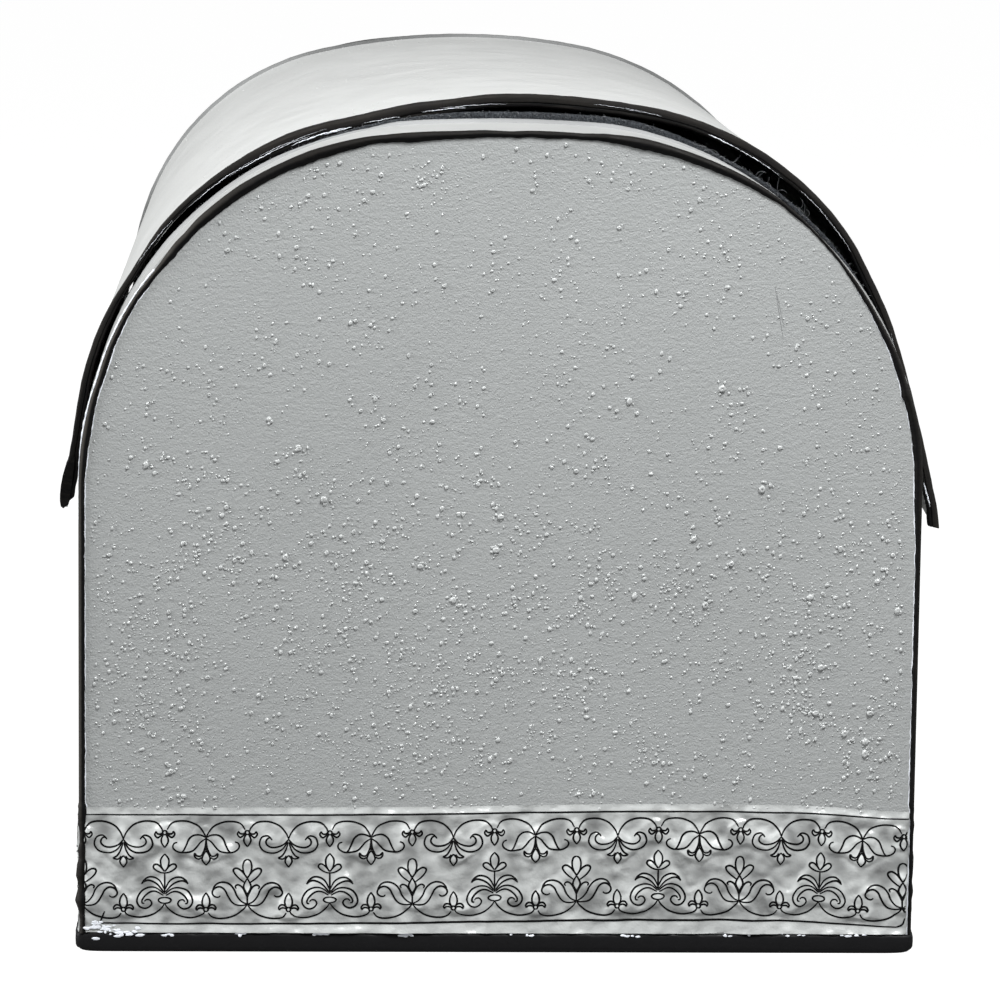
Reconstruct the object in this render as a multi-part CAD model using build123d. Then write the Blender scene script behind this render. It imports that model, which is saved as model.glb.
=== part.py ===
from build123d import *
import os
from math import asin, cos, degrees, radians, sin

# Arched metal storage box with a hinged lid, in millimetres.
# The long side runs along Y, the hinge is on the +X side and the lid opens upwards from the -X side.
# The near end is at -Y, and the origin is in the middle of the base, on the surface it stands on.
# Each piece is its own solid and is written to its own STEP file in parts.

# Body: a folded sheet box whose two ends are closed by arched panels
body_width = 200.0          # over the front and back walls
body_length = 358.0         # over the two end panels
body_height = 197.6         # top of the arch above the base
body_crown_rise = 0.5       # how far the nearly flat crown stands above the shoulders
body_shoulder_radius = 84.0  # round corners of the arch
sheet = 0.8                 # steel sheet of the body and the lid
seam_gap = 0.04             # solder line between curved sheets

# Base pan, whose rim is turned up around the foot of the walls
pan_rim_height = 4.5
pan_rim_thickness = 0.8
pan_corner_radius = 1.2

# Walls, end panels and the arched bands that the lid closes on
wall_roll_radius = 1.5      # safe edge rolled inwards along the top of the walls
panel_flange_depth = 6.0    # flange of the end panel, turned in along its edge
arch_band_width = 44.0      # how far the arch reaches in from each end
arch_flange_depth = 4.0     # stiffening edge turned down along the opening
bead_width = 2.4            # black bead around each end panel
bead_height = 1.6
bead_chamfer = 0.7

# Felt strip that the lid's rim settles on
seat_thickness = 1.3
seat_width = 13.0
seat_foot_height = 152.0    # the strip ends here on both sides
seat_overhang = 2.0         # how far it shows in front of the lid's rim

# Ornamental border around the foot of the body
border_height = 30.5
border_thickness = 0.4
border_end_gap = 0.2

# Lid: one curved sheet with straight flared skirts and a channel rim on each end
lid_setback = 29.0          # from the end panel back to the lid's rim
lid_side_gap = 1.4          # how far the lid's half width exceeds the body's
lid_top_gap = 3.6           # between the top of the arch and the lid's sheet
lid_crown_rise = 3.05
lid_shoulder_ease = 7.0     # how much tighter the lid's shoulders turn than the body's
lid_skirt_lean = 12.5       # degrees that the skirts flare outwards
lid_skirt_overlap = 11.6    # how far the skirts reach down over the walls
rim_lip = 0.9               # how far the rim stands out on each face of the sheet
rim_width = 3.0             # along the box
rim_foot = 0.8              # how far the rim reaches below the skirt

# Finger lip, rolled outwards along the lid's front edge
lip_height = 13.0
lip_bulge = 2.1
lip_foot = 0.8

# Butt hinges between the back wall and the lid's back skirt
hinge_spacing = 160.0       # from one hinge's middle to the other's
hinge_length = 40.0
hinge_knuckles = 3          # the outer ones on the body leaf and the middle one on the lid leaf
hinge_leaf_thickness = 0.8
hinge_leaf_height = 18.0
hinge_eye_radius = 2.6
hinge_pin_radius = 1.25
hinge_pin_clearance = 0.05  # radial running fit in every eye
hinge_pin_head_radius = 1.9
hinge_pin_head = 0.8
hinge_gap = 0.4             # between pieces that turn past each other
hinge_pin_above_foot = 1.6  # pin axis above the end of the back skirt, along the skirt
notch_gap = 0.7             # from a turning eye to the edge of the other leaf's notch

# Rivets that hold the body leaves; the lid leaves are soldered to the skirt
rivet_radius = 1.4
rivet_clearance = 0.05
rivet_head_radius = 2.7
rivet_head_height = 1.1
rivet_spacing = 24.0
rivet_from_pin = 12.0       # rivet line below the pin's axis


class Arch:
    """Three-centred arch in X and Z: a crown arc that runs smoothly into two tighter shoulder arcs.

    The shoulders' centres lie centre_x apart from the middle and rise below top - shoulder. The crown
    that meets both shoulders smoothly has the radius (centre_x^2 + 2 shoulder rise + rise^2) / (2 rise).
    """

    def __init__(self, half_width, top, rise, shoulder):
        self.shoulder = shoulder
        self.centre_x = half_width - shoulder
        self.spring = top - rise - shoulder
        self.crown = (self.centre_x ** 2 + 2 * shoulder * rise + rise ** 2) / (2 * rise)
        self.crown_z = top - self.crown
        self.turn = asin(self.centre_x / (self.crown - shoulder))

    def on_shoulder(self, side, angle, inset):
        """Point of a shoulder arc, with the angle in radians up from the horizontal."""
        radius = self.shoulder - inset
        return side * (self.centre_x + radius * cos(angle)), self.spring + radius * sin(angle)

    def foot(self, side, angle, inset, drop):
        """End of the straight skirt that leaves the shoulder arc at that angle."""
        x, z = self.on_shoulder(side, angle, inset)
        return x + side * drop * sin(angle), z - drop * cos(angle)

    def run(self, inset, angle, drop):
        """Edges from the front foot over the top to the back foot, parallel to the outside by inset."""
        meet = radians(90) - self.turn
        edges = []
        corners = {}
        for side in (-1, 1):
            start = self.on_shoulder(side, angle, inset)
            end = self.on_shoulder(side, meet, inset)
            edges.append(ThreePointArc(start, self.on_shoulder(side, (angle + meet) / 2, inset), end))
            corners[side] = end
            if drop > 0:
                edges.append(Line(start, self.foot(side, angle, inset, drop)))
        top = (0, self.crown_z + self.crown - inset)
        return edges + [ThreePointArc(corners[-1], top, corners[1])]

    def area(self, inset, drop):
        """Closed face under the arch, with straight sides of length drop."""
        base = Line(self.foot(-1, 0, inset, drop), self.foot(1, 0, inset, drop))
        return make_face(self.run(inset, 0, drop) + [base])

    def strip(self, outer, inner, angle=0, drop=0):
        """Face between two parallel runs of the arch."""
        ends = [Line(self.foot(side, angle, outer, drop), self.foot(side, angle, inner, drop))
                for side in (-1, 1)]
        return make_face(self.run(outer, angle, drop) + self.run(inner, angle, drop) + ends)


half_width = body_width / 2
half_length = body_length / 2
half_lid = half_length - lid_setback
body_arch = Arch(half_width, body_height, body_crown_rise, body_shoulder_radius)
lid_arch = Arch(half_width + lid_side_gap, body_height + lid_top_gap + sheet,
                lid_crown_rise, body_shoulder_radius - lid_shoulder_ease)
lean = radians(lid_skirt_lean)
lid_drop = (lid_arch.on_shoulder(1, lean, 0)[1] - body_arch.spring + lid_skirt_overlap) / cos(lean)
arch_edge = half_length - arch_band_width
wall_height = body_arch.spring - sheet


def along_y(profile, start, stop):
    """Solid from y = start to y = stop with a profile drawn in X and Z."""
    return Pos(0, start, 0) * extrude(Plane.XZ * profile, stop - start, dir=(0, 1, 0))


def span(x, y, z):
    """Box between the lowest and highest value along each axis."""
    size = [high - low for low, high in (x, y, z)]
    middle = [(high + low) / 2 for low, high in (x, y, z)]
    return Pos(*middle) * Box(*size)


def mirrored(piece):
    """The same piece at the far end."""
    return mirror(piece, about=Plane.XZ)


# Where the hinge turns: beside the foot of the back skirt, an eye and a gap inside its inner face
eye_offset = hinge_eye_radius + hinge_gap
skirt_foot = lid_arch.foot(1, lean, sheet, lid_drop)
pin_x = skirt_foot[0] - hinge_pin_above_foot * sin(lean) - eye_offset * cos(lean)
pin_z = skirt_foot[1] + hinge_pin_above_foot * cos(lean) - eye_offset * sin(lean)
hinge_places = (-hinge_spacing / 2, hinge_spacing / 2)
rivet_places = (-rivet_spacing / 2, rivet_spacing / 2)


def on_wall(piece, y):
    """Move a piece drawn about the pin's axis onto the back wall, upright."""
    return Pos(pin_x, y, pin_z) * piece


def on_skirt(piece, y):
    """Move a piece drawn about the pin's axis onto the back skirt, leaning with it."""
    return Pos(pin_x, y, pin_z) * Rot(0, -lid_skirt_lean, 0) * piece


def bar_along_x(radius, start, stop, y, z):
    """Round bar along X between two places."""
    return Pos((start + stop) / 2, y, z) * Rot(0, 90, 0) * Cylinder(radius, stop - start)


wall_face = half_width - pin_x          # outer face of the back wall, seen from the pin's axis
skirt_face = eye_offset                 # inner face of the skirt, seen from the pin's axis


def wall_rivet_holes():
    """Bars that cut the rivet holes of the back wall and of the body leaves."""
    start = wall_face - 2 * sheet
    stop = wall_face + 2 * hinge_leaf_thickness
    bar = bar_along_x(rivet_radius + rivet_clearance, start, stop, 0, -rivet_from_pin)
    return [on_wall(Pos(0, place, 0) * bar, y) for y in hinge_places for place in rivet_places]


def base_pan():
    """Floor sheet with its rim turned up outside the walls."""
    x = half_width + pan_rim_thickness
    y = half_length + pan_rim_thickness
    block = span((-x, x), (-y, y), (0, pan_rim_height))
    block = fillet(block.edges().filter_by(Axis.Z), pan_corner_radius)
    room = span((-half_width, half_width), (-half_length, half_length), (sheet, 2 * pan_rim_height))
    return block - room


def side_wall(side):
    """Straight wall with a safe edge rolled inwards between the two arched bands."""
    x = sorted((side * half_width, side * (half_width - sheet)))
    wall = span(x, (-half_length, half_length), (sheet, body_arch.spring))
    reach = arch_edge - seam_gap
    centre_x = side * (half_width - wall_roll_radius)
    roll = Pos(centre_x, 0, body_arch.spring) * Rot(90, 0, 0) * Cylinder(wall_roll_radius, 2 * reach)
    bore = Pos(centre_x, 0, body_arch.spring) * Rot(90, 0, 0) * Cylinder(wall_roll_radius - sheet, 2 * reach)
    return wall + roll - bore


def end_panel():
    """Arched end sheet with a flange turned in, standing inside the walls and the arched band."""
    outer = sheet + seam_gap
    drop = wall_height
    front = along_y(body_arch.area(outer, drop), -half_length, -half_length + sheet)
    flange = along_y(body_arch.strip(outer, outer + sheet, 0, drop),
                     -half_length, -half_length + panel_flange_depth)
    return front + flange


def end_bead():
    """Bead with sloping sides over the joint between the end panel and the sheets around it."""
    drop = body_arch.spring - pan_rim_height
    bead = along_y(body_arch.strip(0, bead_width, 0, drop), -half_length - bead_height, -half_length)
    return chamfer(bead.edges().group_by(Axis.Y)[0], bead_chamfer)


def arch_band():
    """Arched strip at the end of the body, with its inner edge turned down."""
    strip = along_y(body_arch.strip(0, sheet), -half_length, -arch_edge)
    flange = along_y(body_arch.strip(0, sheet + arch_flange_depth), -arch_edge - sheet, -arch_edge)
    return strip + flange


def seat_strip():
    """Felt strip on the arched band, under the lid's rim."""
    angle = asin((seat_foot_height - body_arch.spring) / body_arch.shoulder)
    profile = body_arch.strip(-seam_gap - seat_thickness, -seam_gap, angle)
    start = -half_lid - seat_overhang
    return along_y(profile, start, start + seat_width)


def end_border():
    """Ornamental strip along the foot of an end panel, between the legs of its bead."""
    x = half_width - bead_width - border_end_gap
    z = (pan_rim_height, pan_rim_height + border_height)
    return span((-x, x), (-half_length - border_thickness, -half_length), z)


def side_border(side):
    """Ornamental strip along the foot of a long wall."""
    x = sorted((side * half_width, side * (half_width + border_thickness)))
    y = half_length - border_end_gap
    z = (pan_rim_height, pan_rim_height + border_height)
    return span(x, (-y, y), z)


def lid_sheet():
    """Curved lid sheet between the two rims."""
    end = half_lid - rim_lip
    return along_y(lid_arch.strip(0, sheet, lean, lid_drop), -end, end)


def lid_rim():
    """Channel folded over the end of the lid's sheet, open towards the sheet."""
    drop = lid_drop + rim_foot
    start, stop = -half_lid, -half_lid + rim_width
    channel = along_y(lid_arch.strip(-rim_lip, sheet + rim_lip, lean, drop), start, stop)
    slot = along_y(lid_arch.strip(-seam_gap, sheet + seam_gap, lean, lid_drop), start + rim_lip, stop)
    return channel - slot


def lid_front_lip():
    """Finger lip on the outside of the front skirt, thickest just above its foot."""
    foot = lip_foot
    upper = ThreePointArc((0, lip_height), (0.7 * lip_bulge, lip_height / 2), (lip_bulge, foot))
    under = ThreePointArc((lip_bulge, foot), (0.75 * lip_bulge, -0.5 * foot), (0, -foot))
    profile = make_face([upper, under, Line((0, -foot), (0, lip_height))])
    end = half_lid - rim_width
    lip = along_y(profile, -end, end)
    x, z = lid_arch.foot(1, lean, 0, lid_drop)
    return mirror(Pos(x, 0, z) * Rot(0, -lid_skirt_lean, 0) * lip, about=Plane.YZ)


def knuckle_length():
    """Length of one hinge knuckle, with a gap to each neighbour."""
    return (hinge_length - (hinge_knuckles - 1) * hinge_gap) / hinge_knuckles


def knuckle_spans(first):
    """Y ranges of every other knuckle, from the given one on, about the hinge's middle."""
    pitch = knuckle_length() + hinge_gap
    starts = [-hinge_length / 2 + index * pitch for index in range(first, hinge_knuckles, 2)]
    return [(start, start + knuckle_length()) for start in starts]


def eyes(first):
    """Rolled eyes of one leaf, about the pin's axis."""
    length = knuckle_length()
    return [Pos(0, (low + high) / 2, 0) * Rot(90, 0, 0) * Cylinder(hinge_eye_radius, length)
            for low, high in knuckle_spans(first)]


def pin_bore():
    """Bar that cuts the running bore through the eyes."""
    return Rot(90, 0, 0) * Cylinder(hinge_pin_radius + hinge_pin_clearance, 2 * hinge_length)


def notches(first, x, z):
    """Blocks that clear one leaf beside the other leaf's eyes."""
    return [span(x, (low - hinge_gap, high + hinge_gap), z) for low, high in knuckle_spans(first)]


def hinge_body_leaf():
    """Leaf on the back wall with an eye at each end, about the pin's axis."""
    half = hinge_length / 2
    inner = wall_face
    outer = wall_face + hinge_leaf_thickness
    leaf = span((inner, outer), (-half, half), (-hinge_leaf_height, 0))
    low = -hinge_eye_radius
    arms = [span((inner, 0), y, (low, low + hinge_leaf_thickness)) for y in knuckle_spans(0)]
    leaf = leaf + eyes(0) + arms
    clear = (inner - 1, outer + hinge_eye_radius)
    return leaf - notches(1, clear, (low - notch_gap, hinge_eye_radius)) - pin_bore()


def hinge_lid_leaf():
    """Leaf inside the back skirt with an eye in the middle, about the pin's axis and upright."""
    half = hinge_length / 2
    outer = skirt_face
    inner = skirt_face - hinge_leaf_thickness
    leaf = span((inner, outer), (-half, half), (0, hinge_leaf_height))
    leaf = leaf + eyes(1)
    clear = (inner - hinge_eye_radius, outer + 1)
    return leaf - notches(0, clear, (-1, hinge_eye_radius + notch_gap)) - pin_bore()


def hinge_pin():
    """Pin with one head, like a nail, about its own axis."""
    shank = Rot(90, 0, 0) * Cylinder(hinge_pin_radius, hinge_length)
    head = Rot(90, 0, 0) * Cylinder(hinge_pin_head_radius, hinge_pin_head)
    return shank + Pos(0, -(hinge_length + hinge_pin_head) / 2, 0) * head


def rivet(grip):
    """Rivet whose head sits on x = 0 and points along +X, set flush behind that much sheet."""
    crown_radius = 0.55 * rivet_head_radius
    profile = Polyline((0, rivet_head_height), (crown_radius, rivet_head_height), (rivet_head_radius, 0),
                       (rivet_radius, 0), (rivet_radius, -grip), (0, -grip), close=True)
    return Rot(0, 90, 0) * revolve(Plane.XZ * make_face(profile), Axis.Z)


def body_leaf_rivets():
    """Rivets through the body leaves and the back wall, heads outside."""
    one = rivet(sheet + hinge_leaf_thickness)
    face = wall_face + hinge_leaf_thickness
    return [on_wall(Pos(face, place, -rivet_from_pin) * one, y)
            for y in hinge_places for place in rivet_places]


near_hinge, far_hinge = hinge_places
body_leaf = hinge_body_leaf()
lid_leaf = hinge_lid_leaf()
pieces = {
    "base_pan": base_pan(),
    "front_wall": side_wall(-1),
    "back_wall": side_wall(1) - wall_rivet_holes(),
    "near_end_panel": end_panel(),
    "far_end_panel": mirrored(end_panel()),
    "near_end_bead": end_bead(),
    "far_end_bead": mirrored(end_bead()),
    "near_arch_band": arch_band(),
    "far_arch_band": mirrored(arch_band()),
    "near_seat_strip": seat_strip(),
    "far_seat_strip": mirrored(seat_strip()),
    "near_border_band": end_border(),
    "far_border_band": mirrored(end_border()),
    "front_border_band": side_border(-1),
    "back_border_band": side_border(1),
    "near_hinge_body_leaf": on_wall(body_leaf, near_hinge) - wall_rivet_holes(),
    "far_hinge_body_leaf": on_wall(body_leaf, far_hinge) - wall_rivet_holes(),
    "near_hinge_pin": on_wall(hinge_pin(), near_hinge),
    "far_hinge_pin": on_wall(mirrored(hinge_pin()), far_hinge),
    "body_leaf_rivets": Compound(body_leaf_rivets()),
    "lid_sheet": lid_sheet(),
    "lid_near_rim": lid_rim(),
    "lid_far_rim": mirrored(lid_rim()),
    "lid_front_lip": lid_front_lip(),
    "near_hinge_lid_leaf": on_skirt(lid_leaf, near_hinge),
    "far_hinge_lid_leaf": on_skirt(lid_leaf, far_hinge),
}

os.makedirs("parts", exist_ok=True)
for name, piece in pieces.items():
    export_step(piece, os.path.join("parts", name + ".step"))
    size = piece.bounding_box().size
    print(f"{name}: {size.X:.1f} x {size.Y:.1f} x {size.Z:.1f}, volume {piece.volume:.0f}")
print(f"hinge axis at x {pin_x:.3f}, z {pin_z:.3f}; skirt foot at {skirt_foot[0]:.2f}, {skirt_foot[1]:.2f}")
print(f"spring at {body_arch.spring:.2f}, arches meet {degrees(body_arch.turn):.2f} degrees off the top")
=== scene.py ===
# %% [markdown]
# # An arched metal storage box
#
# The box is folded and soldered from thin steel sheet: a straight lower part, two arched end panels
# and a curved lid that hinges along the right-hand side. It was sprayed grey and off-white, its edges
# were brushed black by hand, and a pressed ornamental border runs round its foot.
#
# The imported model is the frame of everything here. A piece whose shape is right in it only gets its
# finish. Where the hand work shows, such as wavy paint, felt and relief, a new mesh takes its place.

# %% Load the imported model
import math

import bpy
import numpy as np
from mathutils import Matrix, Vector


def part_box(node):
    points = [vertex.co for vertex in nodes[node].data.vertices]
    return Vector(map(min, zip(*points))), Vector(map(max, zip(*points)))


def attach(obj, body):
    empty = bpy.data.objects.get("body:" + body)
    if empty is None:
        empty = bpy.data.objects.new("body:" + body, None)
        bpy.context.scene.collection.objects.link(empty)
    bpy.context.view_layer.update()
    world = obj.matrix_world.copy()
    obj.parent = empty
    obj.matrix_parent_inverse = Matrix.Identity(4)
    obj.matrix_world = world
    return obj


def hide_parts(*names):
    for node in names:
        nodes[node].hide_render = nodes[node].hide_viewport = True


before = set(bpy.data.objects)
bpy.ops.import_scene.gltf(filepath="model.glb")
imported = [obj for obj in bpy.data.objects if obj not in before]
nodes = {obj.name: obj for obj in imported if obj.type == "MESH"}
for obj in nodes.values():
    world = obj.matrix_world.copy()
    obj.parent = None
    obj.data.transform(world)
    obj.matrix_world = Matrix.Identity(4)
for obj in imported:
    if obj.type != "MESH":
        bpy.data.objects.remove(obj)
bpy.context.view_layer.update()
print("nodes in the frame:", len(nodes))

# %% [markdown]
# ## Where the camera stands
#
# The photograph was taken from 1.1 m in front of the near end, a little left of the middle and just
# above the lid, with a lens about five times as long as the picture is wide. The camera's axes are
# worked out from three angles, so that the picture is level with the photograph's slight lean.

# %% Camera
camera_place = Vector((-0.0442, -1.3019, 0.2883))
camera_yaw = math.radians(2.240)     # to the right of the box's long side
camera_pitch = math.radians(9.012)   # downwards
camera_roll = math.radians(0.707)
camera_lens = 172.8                  # mm
camera_sensor = 36                   # mm across the picture


def camera_axes():
    """The ways that point right, up and ahead in the picture, from the yaw, pitch and roll."""
    ahead = Vector((math.sin(camera_yaw) * math.cos(camera_pitch),
                    math.cos(camera_yaw) * math.cos(camera_pitch), -math.sin(camera_pitch)))
    level = Vector((math.cos(camera_yaw), -math.sin(camera_yaw), 0))
    upright = level.cross(ahead)
    right = level * math.cos(camera_roll) + upright * math.sin(camera_roll)
    up = upright * math.cos(camera_roll) - level * math.sin(camera_roll)
    return right, up, ahead


def add_camera():
    """Camera that looks along its own back axis, which points away from what is ahead."""
    right, up, ahead = camera_axes()
    camera = bpy.data.objects.new("camera", bpy.data.cameras.new("camera"))
    camera.data.lens = camera_lens
    camera.data.sensor_width = camera_sensor
    camera.data.clip_end = 50
    camera.matrix_world = Matrix((right, up, -ahead)).transposed().to_4x4()
    camera.matrix_world.translation = camera_place
    bpy.context.scene.collection.objects.link(camera)
    bpy.context.scene.camera = camera


add_camera()
print("camera at", [round(value, 3) for value in camera_place])

# %% [markdown]
# ## Meshes from arrays
#
# Almost every new piece is a strip, a rim or a sheet carried along a line. Each is one grid of points:
# every row is a closed loop, the rows follow one another along the piece, and two end faces close it.
# Working the grid out with whole arrays keeps each shape a formula. The signed volume tells whether
# the faces point outwards, so no piece can end up inside out.

# %% Grid helpers
MM = 0.001


def grid_faces(rows, columns):
    """Quads of a grid whose rows are closed loops: point (r, c) has the number r * columns + c."""
    r, c = np.meshgrid(np.arange(rows - 1), np.arange(columns), indexing="ij")
    n = (c + 1) % columns
    return np.stack([r * columns + c, r * columns + n, (r + 1) * columns + n, (r + 1) * columns + c],
                    -1).reshape(-1, 4)


def tubes(points):
    """Points and faces of many grids of closed loops (parts, rows, columns, 3), with both ends filled."""
    parts, rows, columns = points.shape[:3]
    starts = (np.arange(parts) * rows * columns)[:, None, None]
    last = (rows - 1) * columns + np.arange(columns)
    quads = (grid_faces(rows, columns)[None] + starts).reshape(-1, 4)
    ends = (np.stack([np.arange(columns)[::-1], last])[None] + starts).reshape(-1, columns)
    return points.reshape(-1, 3), [quads, ends]


def tube(points):
    """The same for one grid of closed loops (rows, columns, 3)."""
    return tubes(points[None])


def joined(parts):
    """One set of points and faces out of several, each moved past the points before it."""
    starts = np.cumsum([0] + [len(points) for points, _ in parts[:-1]])
    points = np.vstack([points for points, _ in parts])
    faces = [face + start for (_, sets), start in zip(parts, starts) for face in sets]
    corners = sorted({face.shape[1] for face in faces})
    return points, [np.vstack([face for face in faces if face.shape[1] == count]) for count in corners]


def signed_volume(points, faces):
    """A sixth of the sum of the triangles' triple products, each face split into a fan."""
    total = 0.0
    for face in faces:
        first = points[face[:, 0]]
        for k in range(1, face.shape[1] - 1):
            total += np.einsum("ij,ij->", first, np.cross(points[face[:, k]], points[face[:, k + 1]]))
    return total / 6


print("faces of a grid with 3 rows of 4 points:", len(grid_faces(3, 4)))

# %% [markdown]
# ## From arrays to a piece
#
# A piece is a mesh that says which body it rides on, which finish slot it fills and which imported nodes
# it stands for. The arrays are poured into the mesh in one go, and the edges that bend by more than an
# angle stay sharp while the rest is shaded smooth.

# %% One piece
def add_piece(name, shape, material, body, replaces=(), uv=None, sharp=40):
    """Mesh in millimetres made a piece that rides on a body.

    uv holds two numbers for each point, and sharp is the angle past which an edge stays sharp.
    """
    points, faces = shape
    if signed_volume(points, faces) < 0:
        faces = [face[:, ::-1] for face in faces]
    corners = np.concatenate([face.ravel() for face in faces])
    sizes = np.concatenate([np.full(len(face), face.shape[1]) for face in faces])
    mesh = bpy.data.meshes.new(name)
    mesh.vertices.add(len(points))
    mesh.vertices.foreach_set("co", (points * MM).astype(np.float32).ravel())
    mesh.loops.add(len(corners))
    mesh.loops.foreach_set("vertex_index", corners.astype(np.int32))
    mesh.polygons.add(len(sizes))
    mesh.polygons.foreach_set("loop_start", (np.cumsum(sizes) - sizes).astype(np.int32))
    mesh.update(calc_edges=True)
    mesh.validate()
    if uv is not None:
        layer = mesh.uv_layers.new(name="along")
        layer.data.foreach_set("uv", uv[corners].astype(np.float32).ravel())
    mesh.shade_smooth()
    mesh.set_sharp_from_angle(angle=math.radians(sharp))
    mesh.materials.append(material)
    piece = bpy.data.objects.new(name, mesh)
    bpy.context.scene.collection.objects.link(piece)
    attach(piece, body)
    if replaces:
        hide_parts(*replaces)
    triangles = int(np.sum(sizes - 2))
    print(f"{name}: {triangles} triangles, {signed_volume(points, faces) / 1000:.2f} cm3")


print("a piece is given in millimetres and built in metres, times", MM)

# %% [markdown]
# ## Chance, always the same
#
# A hand never repeats itself, but this script has to give the same box on each run. So every uneven
# line or field comes from a generator with its own fixed seed. Waves bend lines, and clouds, which are
# noise blurred by a bell curve, fill surfaces.

# %% Waves, clouds and soft steps
def waves(along, seed, lengths, depth):
    """Uneven wave over the distances along: a sum of sines of the given lengths, with chance phases."""
    chance = np.random.default_rng(seed)
    total = np.zeros(len(along))
    for length in lengths:
        stretch = chance.uniform(0.8, 1.25)
        strength = chance.uniform(0.5, 1)
        total += strength * np.sin(2 * np.pi * (along / (length * stretch) + chance.uniform()))
    return depth * total / len(lengths) ** 0.5


def blurred(field, radius):
    """Field smoothed by a bell curve of that radius in cells: their spectra are multiplied."""
    rows, columns = (np.fft.fftfreq(size) for size in field.shape)
    bell = np.exp(-2 * (np.pi * radius) ** 2 * (rows[:, None] ** 2 + columns[None] ** 2))
    return np.fft.ifft2(np.fft.fft2(field) * bell).real


def clouds(shape, radius, seed):
    """Smooth chance field with a spread of one: white noise blurred by a bell curve."""
    field = blurred(np.random.default_rng(seed).standard_normal(shape), radius)
    return (field - field.mean()) / field.std()


def smoothstep(value):
    """0 below 0, 1 above 1 and 3 v^2 - 2 v^3 between them."""
    value = np.clip(value, 0, 1)
    return value * value * (3 - 2 * value)


print("a soft step a quarter of the way up:", smoothstep(0.25))

# %% [markdown]
# ## Building a finish from nodes
#
# Each finish is one shader whose colour, roughness and normal come from noise. A few helpers add the
# nodes: noise of a given grain, a ramp that turns it into tones, a range for roughness, and a bump.
# Constants stand on the shader's own sockets.

# %% Shader helpers
def new_material(name, colour, roughness, specular=0.5):
    """Material with one Principled shader, its colour, roughness and specular set on the sockets."""
    material = bpy.data.materials.new(name)
    material.use_nodes = True
    shader = material.node_tree.nodes["Principled BSDF"]
    shader.inputs["Base Color"].default_value = (*colour, 1)
    shader.inputs["Roughness"].default_value = roughness
    shader.inputs["Specular IOR Level"].default_value = specular
    return material, material.node_tree, shader


def noise(tree, size, detail=2.0, stretch=(1, 1, 1), space="Object"):
    """Noise whose grains are about size metres, pulled out along an axis by stretch."""
    place = tree.nodes.new("ShaderNodeTexCoord")
    mapping = tree.nodes.new("ShaderNodeMapping")
    mapping.inputs["Scale"].default_value = [1 / (size * share) for share in stretch]
    texture = tree.nodes.new("ShaderNodeTexNoise")
    texture.inputs["Scale"].default_value = 1
    texture.inputs["Detail"].default_value = detail
    tree.links.new(place.outputs[space], mapping.inputs["Vector"])
    tree.links.new(mapping.outputs["Vector"], texture.inputs["Vector"])
    return texture.outputs["Fac"]


def ramp(tree, value, stops):
    """Colours along a value: each stop is a place and a colour."""
    node = tree.nodes.new("ShaderNodeValToRGB")
    node.color_ramp.elements[0].position = stops[0][0]
    node.color_ramp.elements[1].position = stops[-1][0]
    for place, _ in stops[1:-1]:
        node.color_ramp.elements.new(place)
    for element, (_, colour) in zip(node.color_ramp.elements, stops):
        element.color = (*colour, 1)
    tree.links.new(value, node.inputs["Fac"])
    return node.outputs["Color"]


def spread(tree, value, low, high, from_low=0.3, from_high=0.7):
    """The value carried from one range to another."""
    node = tree.nodes.new("ShaderNodeMapRange")
    node.inputs["From Min"].default_value = from_low
    node.inputs["From Max"].default_value = from_high
    node.inputs["To Min"].default_value = low
    node.inputs["To Max"].default_value = high
    tree.links.new(value, node.inputs["Value"])
    return node.outputs["Result"]


def bump(tree, height, depth, before=None):
    """Normal for a surface that the height raises by up to depth metres, on top of an earlier bump."""
    node = tree.nodes.new("ShaderNodeBump")
    node.inputs["Strength"].default_value = 1
    node.inputs["Distance"].default_value = depth
    tree.links.new(height, node.inputs["Height"])
    if before is not None:
        tree.links.new(before, node.inputs["Normal"])
    return node.outputs["Normal"]


def shade(colour, factor):
    """The colour made lighter or darker by a factor."""
    return tuple(channel * factor for channel in colour)


def across(tree, far, part="Y"):
    """0 to 1 over one number of the piece's own map, from 0 to far."""
    place = tree.nodes.new("ShaderNodeTexCoord")
    parts = tree.nodes.new("ShaderNodeSeparateXYZ")
    tree.links.new(place.outputs["UV"], parts.inputs[0])
    return spread(tree, parts.outputs[part], 0, 1, 0, far)


def added(tree, one, other, share):
    """The first colour plus a share of the other."""
    scale = tree.nodes.new("ShaderNodeVectorMath")
    scale.operation = "SCALE"
    tree.links.new(other, scale.inputs[0])
    tree.links.new(share, scale.inputs["Scale"])
    total = tree.nodes.new("ShaderNodeVectorMath")
    tree.links.new(one, total.inputs[0])
    tree.links.new(scale.outputs[0], total.inputs[1])
    return total.outputs[0]


print("half as bright as mid grey:", shade((0.5, 0.5, 0.5), 0.5))

# %% [markdown]
# ## Paint and metal
#
# The grey end panels and the off-white lid are sprayed satin paint. Up close the paint has an orange
# peel of about half a millimetre, which a bump gives, and a faint uneven tone. The black edges are
# brushed: their streaks follow the edge, so that material reads the piece's own map, whose first
# number is the distance along the edge. The hinges are plated steel, dull and a little stained.

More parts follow.
